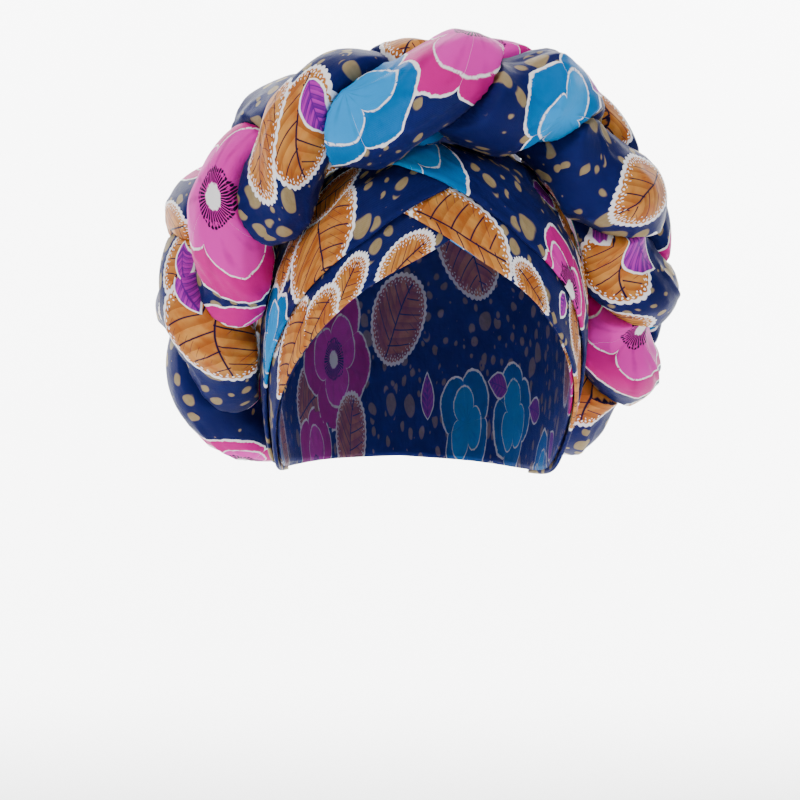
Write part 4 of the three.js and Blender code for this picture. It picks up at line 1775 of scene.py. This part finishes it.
@dataclass
class PaddedPlait:
    """The three stuffed tubes of the plait.

    Attributes:
        plait: Their shapes.
        line: The line that they follow.
        print_margin: Breadth of cloth by the seam that is left without scattered prints.
        print_spacing: Distance between the things printed on a tube.
        first_seed: Which random places they have on the first tube.
    """

    plait: Plait
    line: PlaitLine
    print_margin: float = 8.0
    print_spacing: float = 50.0
    first_seed: int = 90

    def make_tube(self, index: int, name: str, node: str, cloth: Cloth) -> bpy.types.Object:
        """One stuffed tube in place of its solid.

        Args:
            index: Which of the three.
            name: The new piece.
            node: The solid that it stands for.
            cloth: Its printed cloth.

        Returns:
            The tube's object.
        """
        surface = self.plait.tube(index, self.line)
        charted = list(CHARTS[name])
        length, girth = surface.flat[..., 0].max(), surface.flat[..., 1].max()
        area = (0, length, self.print_margin, girth - self.print_margin)
        motifs = charted + scattered(area, self.first_seed + index, self.print_spacing, charted)
        piece = surface.build(name, motifs)
        piece.data.materials.append(PrintedCotton(cloth).material())
        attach(piece, "root")
        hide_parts(node)
        return piece


@dataclass(frozen=True)
class Lamp:
    """A soft square light, in metres.

    Attributes:
        name: Its name.
        place: Where it hangs.
        aim: The direction that it faces.
        power: Watts.
        size: Its breadth.
    """

    name: str
    place: tuple[float, float, float]
    aim: tuple[float, float, float]
    power: float
    size: float

    def hang(self) -> None:
        """Puts the lamp into the scene, with its -Z turned towards its aim."""
        light = bpy.data.lights.new(self.name, "AREA")
        light.energy, light.size = self.power, self.size
        lamp = bpy.data.objects.new(self.name, light)
        x, y, z = np.array(self.aim) / np.linalg.norm(self.aim)
        lamp.location = self.place
        lamp.rotation_euler = (math.acos(-z), 0.0, math.atan2(y, x) - math.pi / 2)
        bpy.context.scene.collection.objects.link(lamp)


@dataclass(frozen=True)
class Studio:
    """A pale floor that runs up into a backdrop, soft lights and the camera, in metres and degrees.

    Attributes:
        lamps: The lights.
        sky_strength: Brightness of the white sky.
        paper: The backdrop's colour.
        floor_height: Height of the floor.
        camera_distance: How far away the camera stands.
        camera_turn: How far round it stands, towards the wearer's left.
        camera_aside: How far it is moved to its own right.
        camera_height: Its height.
        camera_roll: How far its right side is raised.
        lens: Its focal length, in millimetres.
        sensor: Its sensor's breadth, in millimetres.
    """

    lamps: tuple[Lamp, ...] = (
        Lamp("key", (-1.5, -2.1, 1.4), (1.5, 2.1, -1.37), 50.0, 0.8),
        Lamp("fill", (1.9, -1.9, 0.8), (-1.9, 1.9, -0.77), 17.0, 1.2),
        Lamp("top", (0.1, -0.3, 2.1), (-0.1, 0.3, -2.07), 24.0, 0.8),
        Lamp("wall_wash", (-1.6, 1.0, 1.6), (0.4, 2.0, -0.6), 380.0, 1.6),
        Lamp("wall_wash", (1.6, 1.0, 1.6), (-0.4, 2.0, -0.6), 380.0, 1.6),
    )
    sky_strength: float = 0.1
    paper: Colour = (0.93, 0.93, 0.93)
    floor_height: float = -0.34
    camera_distance: float = 1.6
    camera_turn: float = -7.0
    camera_aside: float = -0.011
    camera_height: float = -0.036
    camera_roll: float = 1.0
    lens: float = 136.8
    sensor: float = 36.0

    def make_backdrop(self) -> bpy.types.Object:
        """The floor and the wall in one sheet, joined by a quarter circle.

        Returns:
            The sheet's object.
        """
        radius, near, far, top, side = 1.2, -4.0, 1.6, 4.0, 5.0
        bend = np.linspace(0, np.pi / 2, 24)
        y = np.concatenate(([near], far + radius * np.sin(bend), [far + radius]))
        z = np.concatenate(([0.0], radius * (1 - np.cos(bend)), [top])) + self.floor_height
        x = np.array([-side, side])
        grid = np.stack(np.broadcast_arrays(x[None, :], y[:, None], z[:, None]), axis=-1)
        mesh = bpy.data.meshes.new("backdrop")
        mesh.from_pydata(grid.reshape(-1, 3).tolist(), [], self._turned(grid).tolist())
        mesh.polygons.foreach_set("use_smooth", np.ones(len(mesh.polygons), bool))
        piece = bpy.data.objects.new("backdrop", mesh)
        bpy.context.scene.collection.objects.link(piece)
        paper = bpy.data.materials.new("backdrop_paper")
        paper.use_nodes = True
        shader = paper.node_tree.nodes["Principled BSDF"]
        shader.inputs["Base Color"].default_value = (*self.paper, 1.0)
        shader.inputs["Roughness"].default_value = 0.9
        mesh.materials.append(paper)
        return piece

    @staticmethod
    def _turned(grid: Array) -> Array:
        """Faces of a grid of points, turned so that they look at the cap."""
        return grid_faces(np.arange(grid.size // 3).reshape(grid.shape[:2]))[:, ::-1]

    def make_lights(self) -> None:
        """A key light from the left front, a fill, one from above, two on the wall and a white sky."""
        for lamp in self.lamps:
            lamp.hang()
        world = bpy.data.worlds.new("studio")
        world.use_nodes = True
        sky = world.node_tree.nodes["Background"]
        sky.inputs["Color"].default_value = (1.0, 1.0, 1.0, 1.0)
        sky.inputs["Strength"].default_value = self.sky_strength
        bpy.context.scene.world = world

    def make_camera(self) -> bpy.types.Object:
        """The camera, level with the lower edge of the cap and a little to the wearer's right.

        Returns:
            The camera's object.
        """
        turn, roll = math.radians(self.camera_turn), math.radians(self.camera_roll)
        back = np.array((math.sin(turn), -math.cos(turn), 0.0))
        right = np.array((math.cos(turn), math.sin(turn), 0.0))
        up = np.array((0.0, 0.0, 1.0))
        place = back * self.camera_distance + right * self.camera_aside + up * self.camera_height
        rolled_right = right * math.cos(roll) + up * math.sin(roll)
        rolled_up = up * math.cos(roll) - right * math.sin(roll)
        data = bpy.data.cameras.new("camera")
        data.lens = self.lens
        data.sensor_width = self.sensor
        camera = bpy.data.objects.new("camera", data)
        bpy.context.scene.collection.objects.link(camera)
        matrix = np.eye(4)
        matrix[:3, 0], matrix[:3, 1], matrix[:3, 2], matrix[:3, 3] = rolled_right, rolled_up, back, place
        camera.matrix_world = Matrix(matrix.tolist())
        bpy.context.scene.camera = camera
        return camera


def main() -> None:
    """Builds the cap piece by piece, then the studio round it."""
    logging.basicConfig(level=logging.INFO, format="%(name)s: %(message)s")
    wrap, plait = Wrap(), Plait()
    line = plait.line(wrap)
    head_wrap = HeadWrap(wrap, line)
    padded_plait = PaddedPlait(plait, line)
    pieces = [head_wrap.make_crown()]
    pieces += [head_wrap.make_fold(layer) for layer in range(len(wrap.folds))]
    pieces.append(padded_plait.make_tube(0, "plait_tube_a", "plait_strand_a", Cloth.POPPY))
    pieces.append(padded_plait.make_tube(1, "plait_tube_b", "plait_strand_b", Cloth.PEBBLE))
    pieces.append(padded_plait.make_tube(2, "plait_tube_c", "plait_strand_c", Cloth.LEAF))
    for piece in pieces:
        log.info("%s: %d faces", piece.name, len(piece.data.polygons))
    studio = Studio()
    studio.make_backdrop()
    studio.make_lights()
    studio.make_camera()


if __name__ == "__main__":
    main()
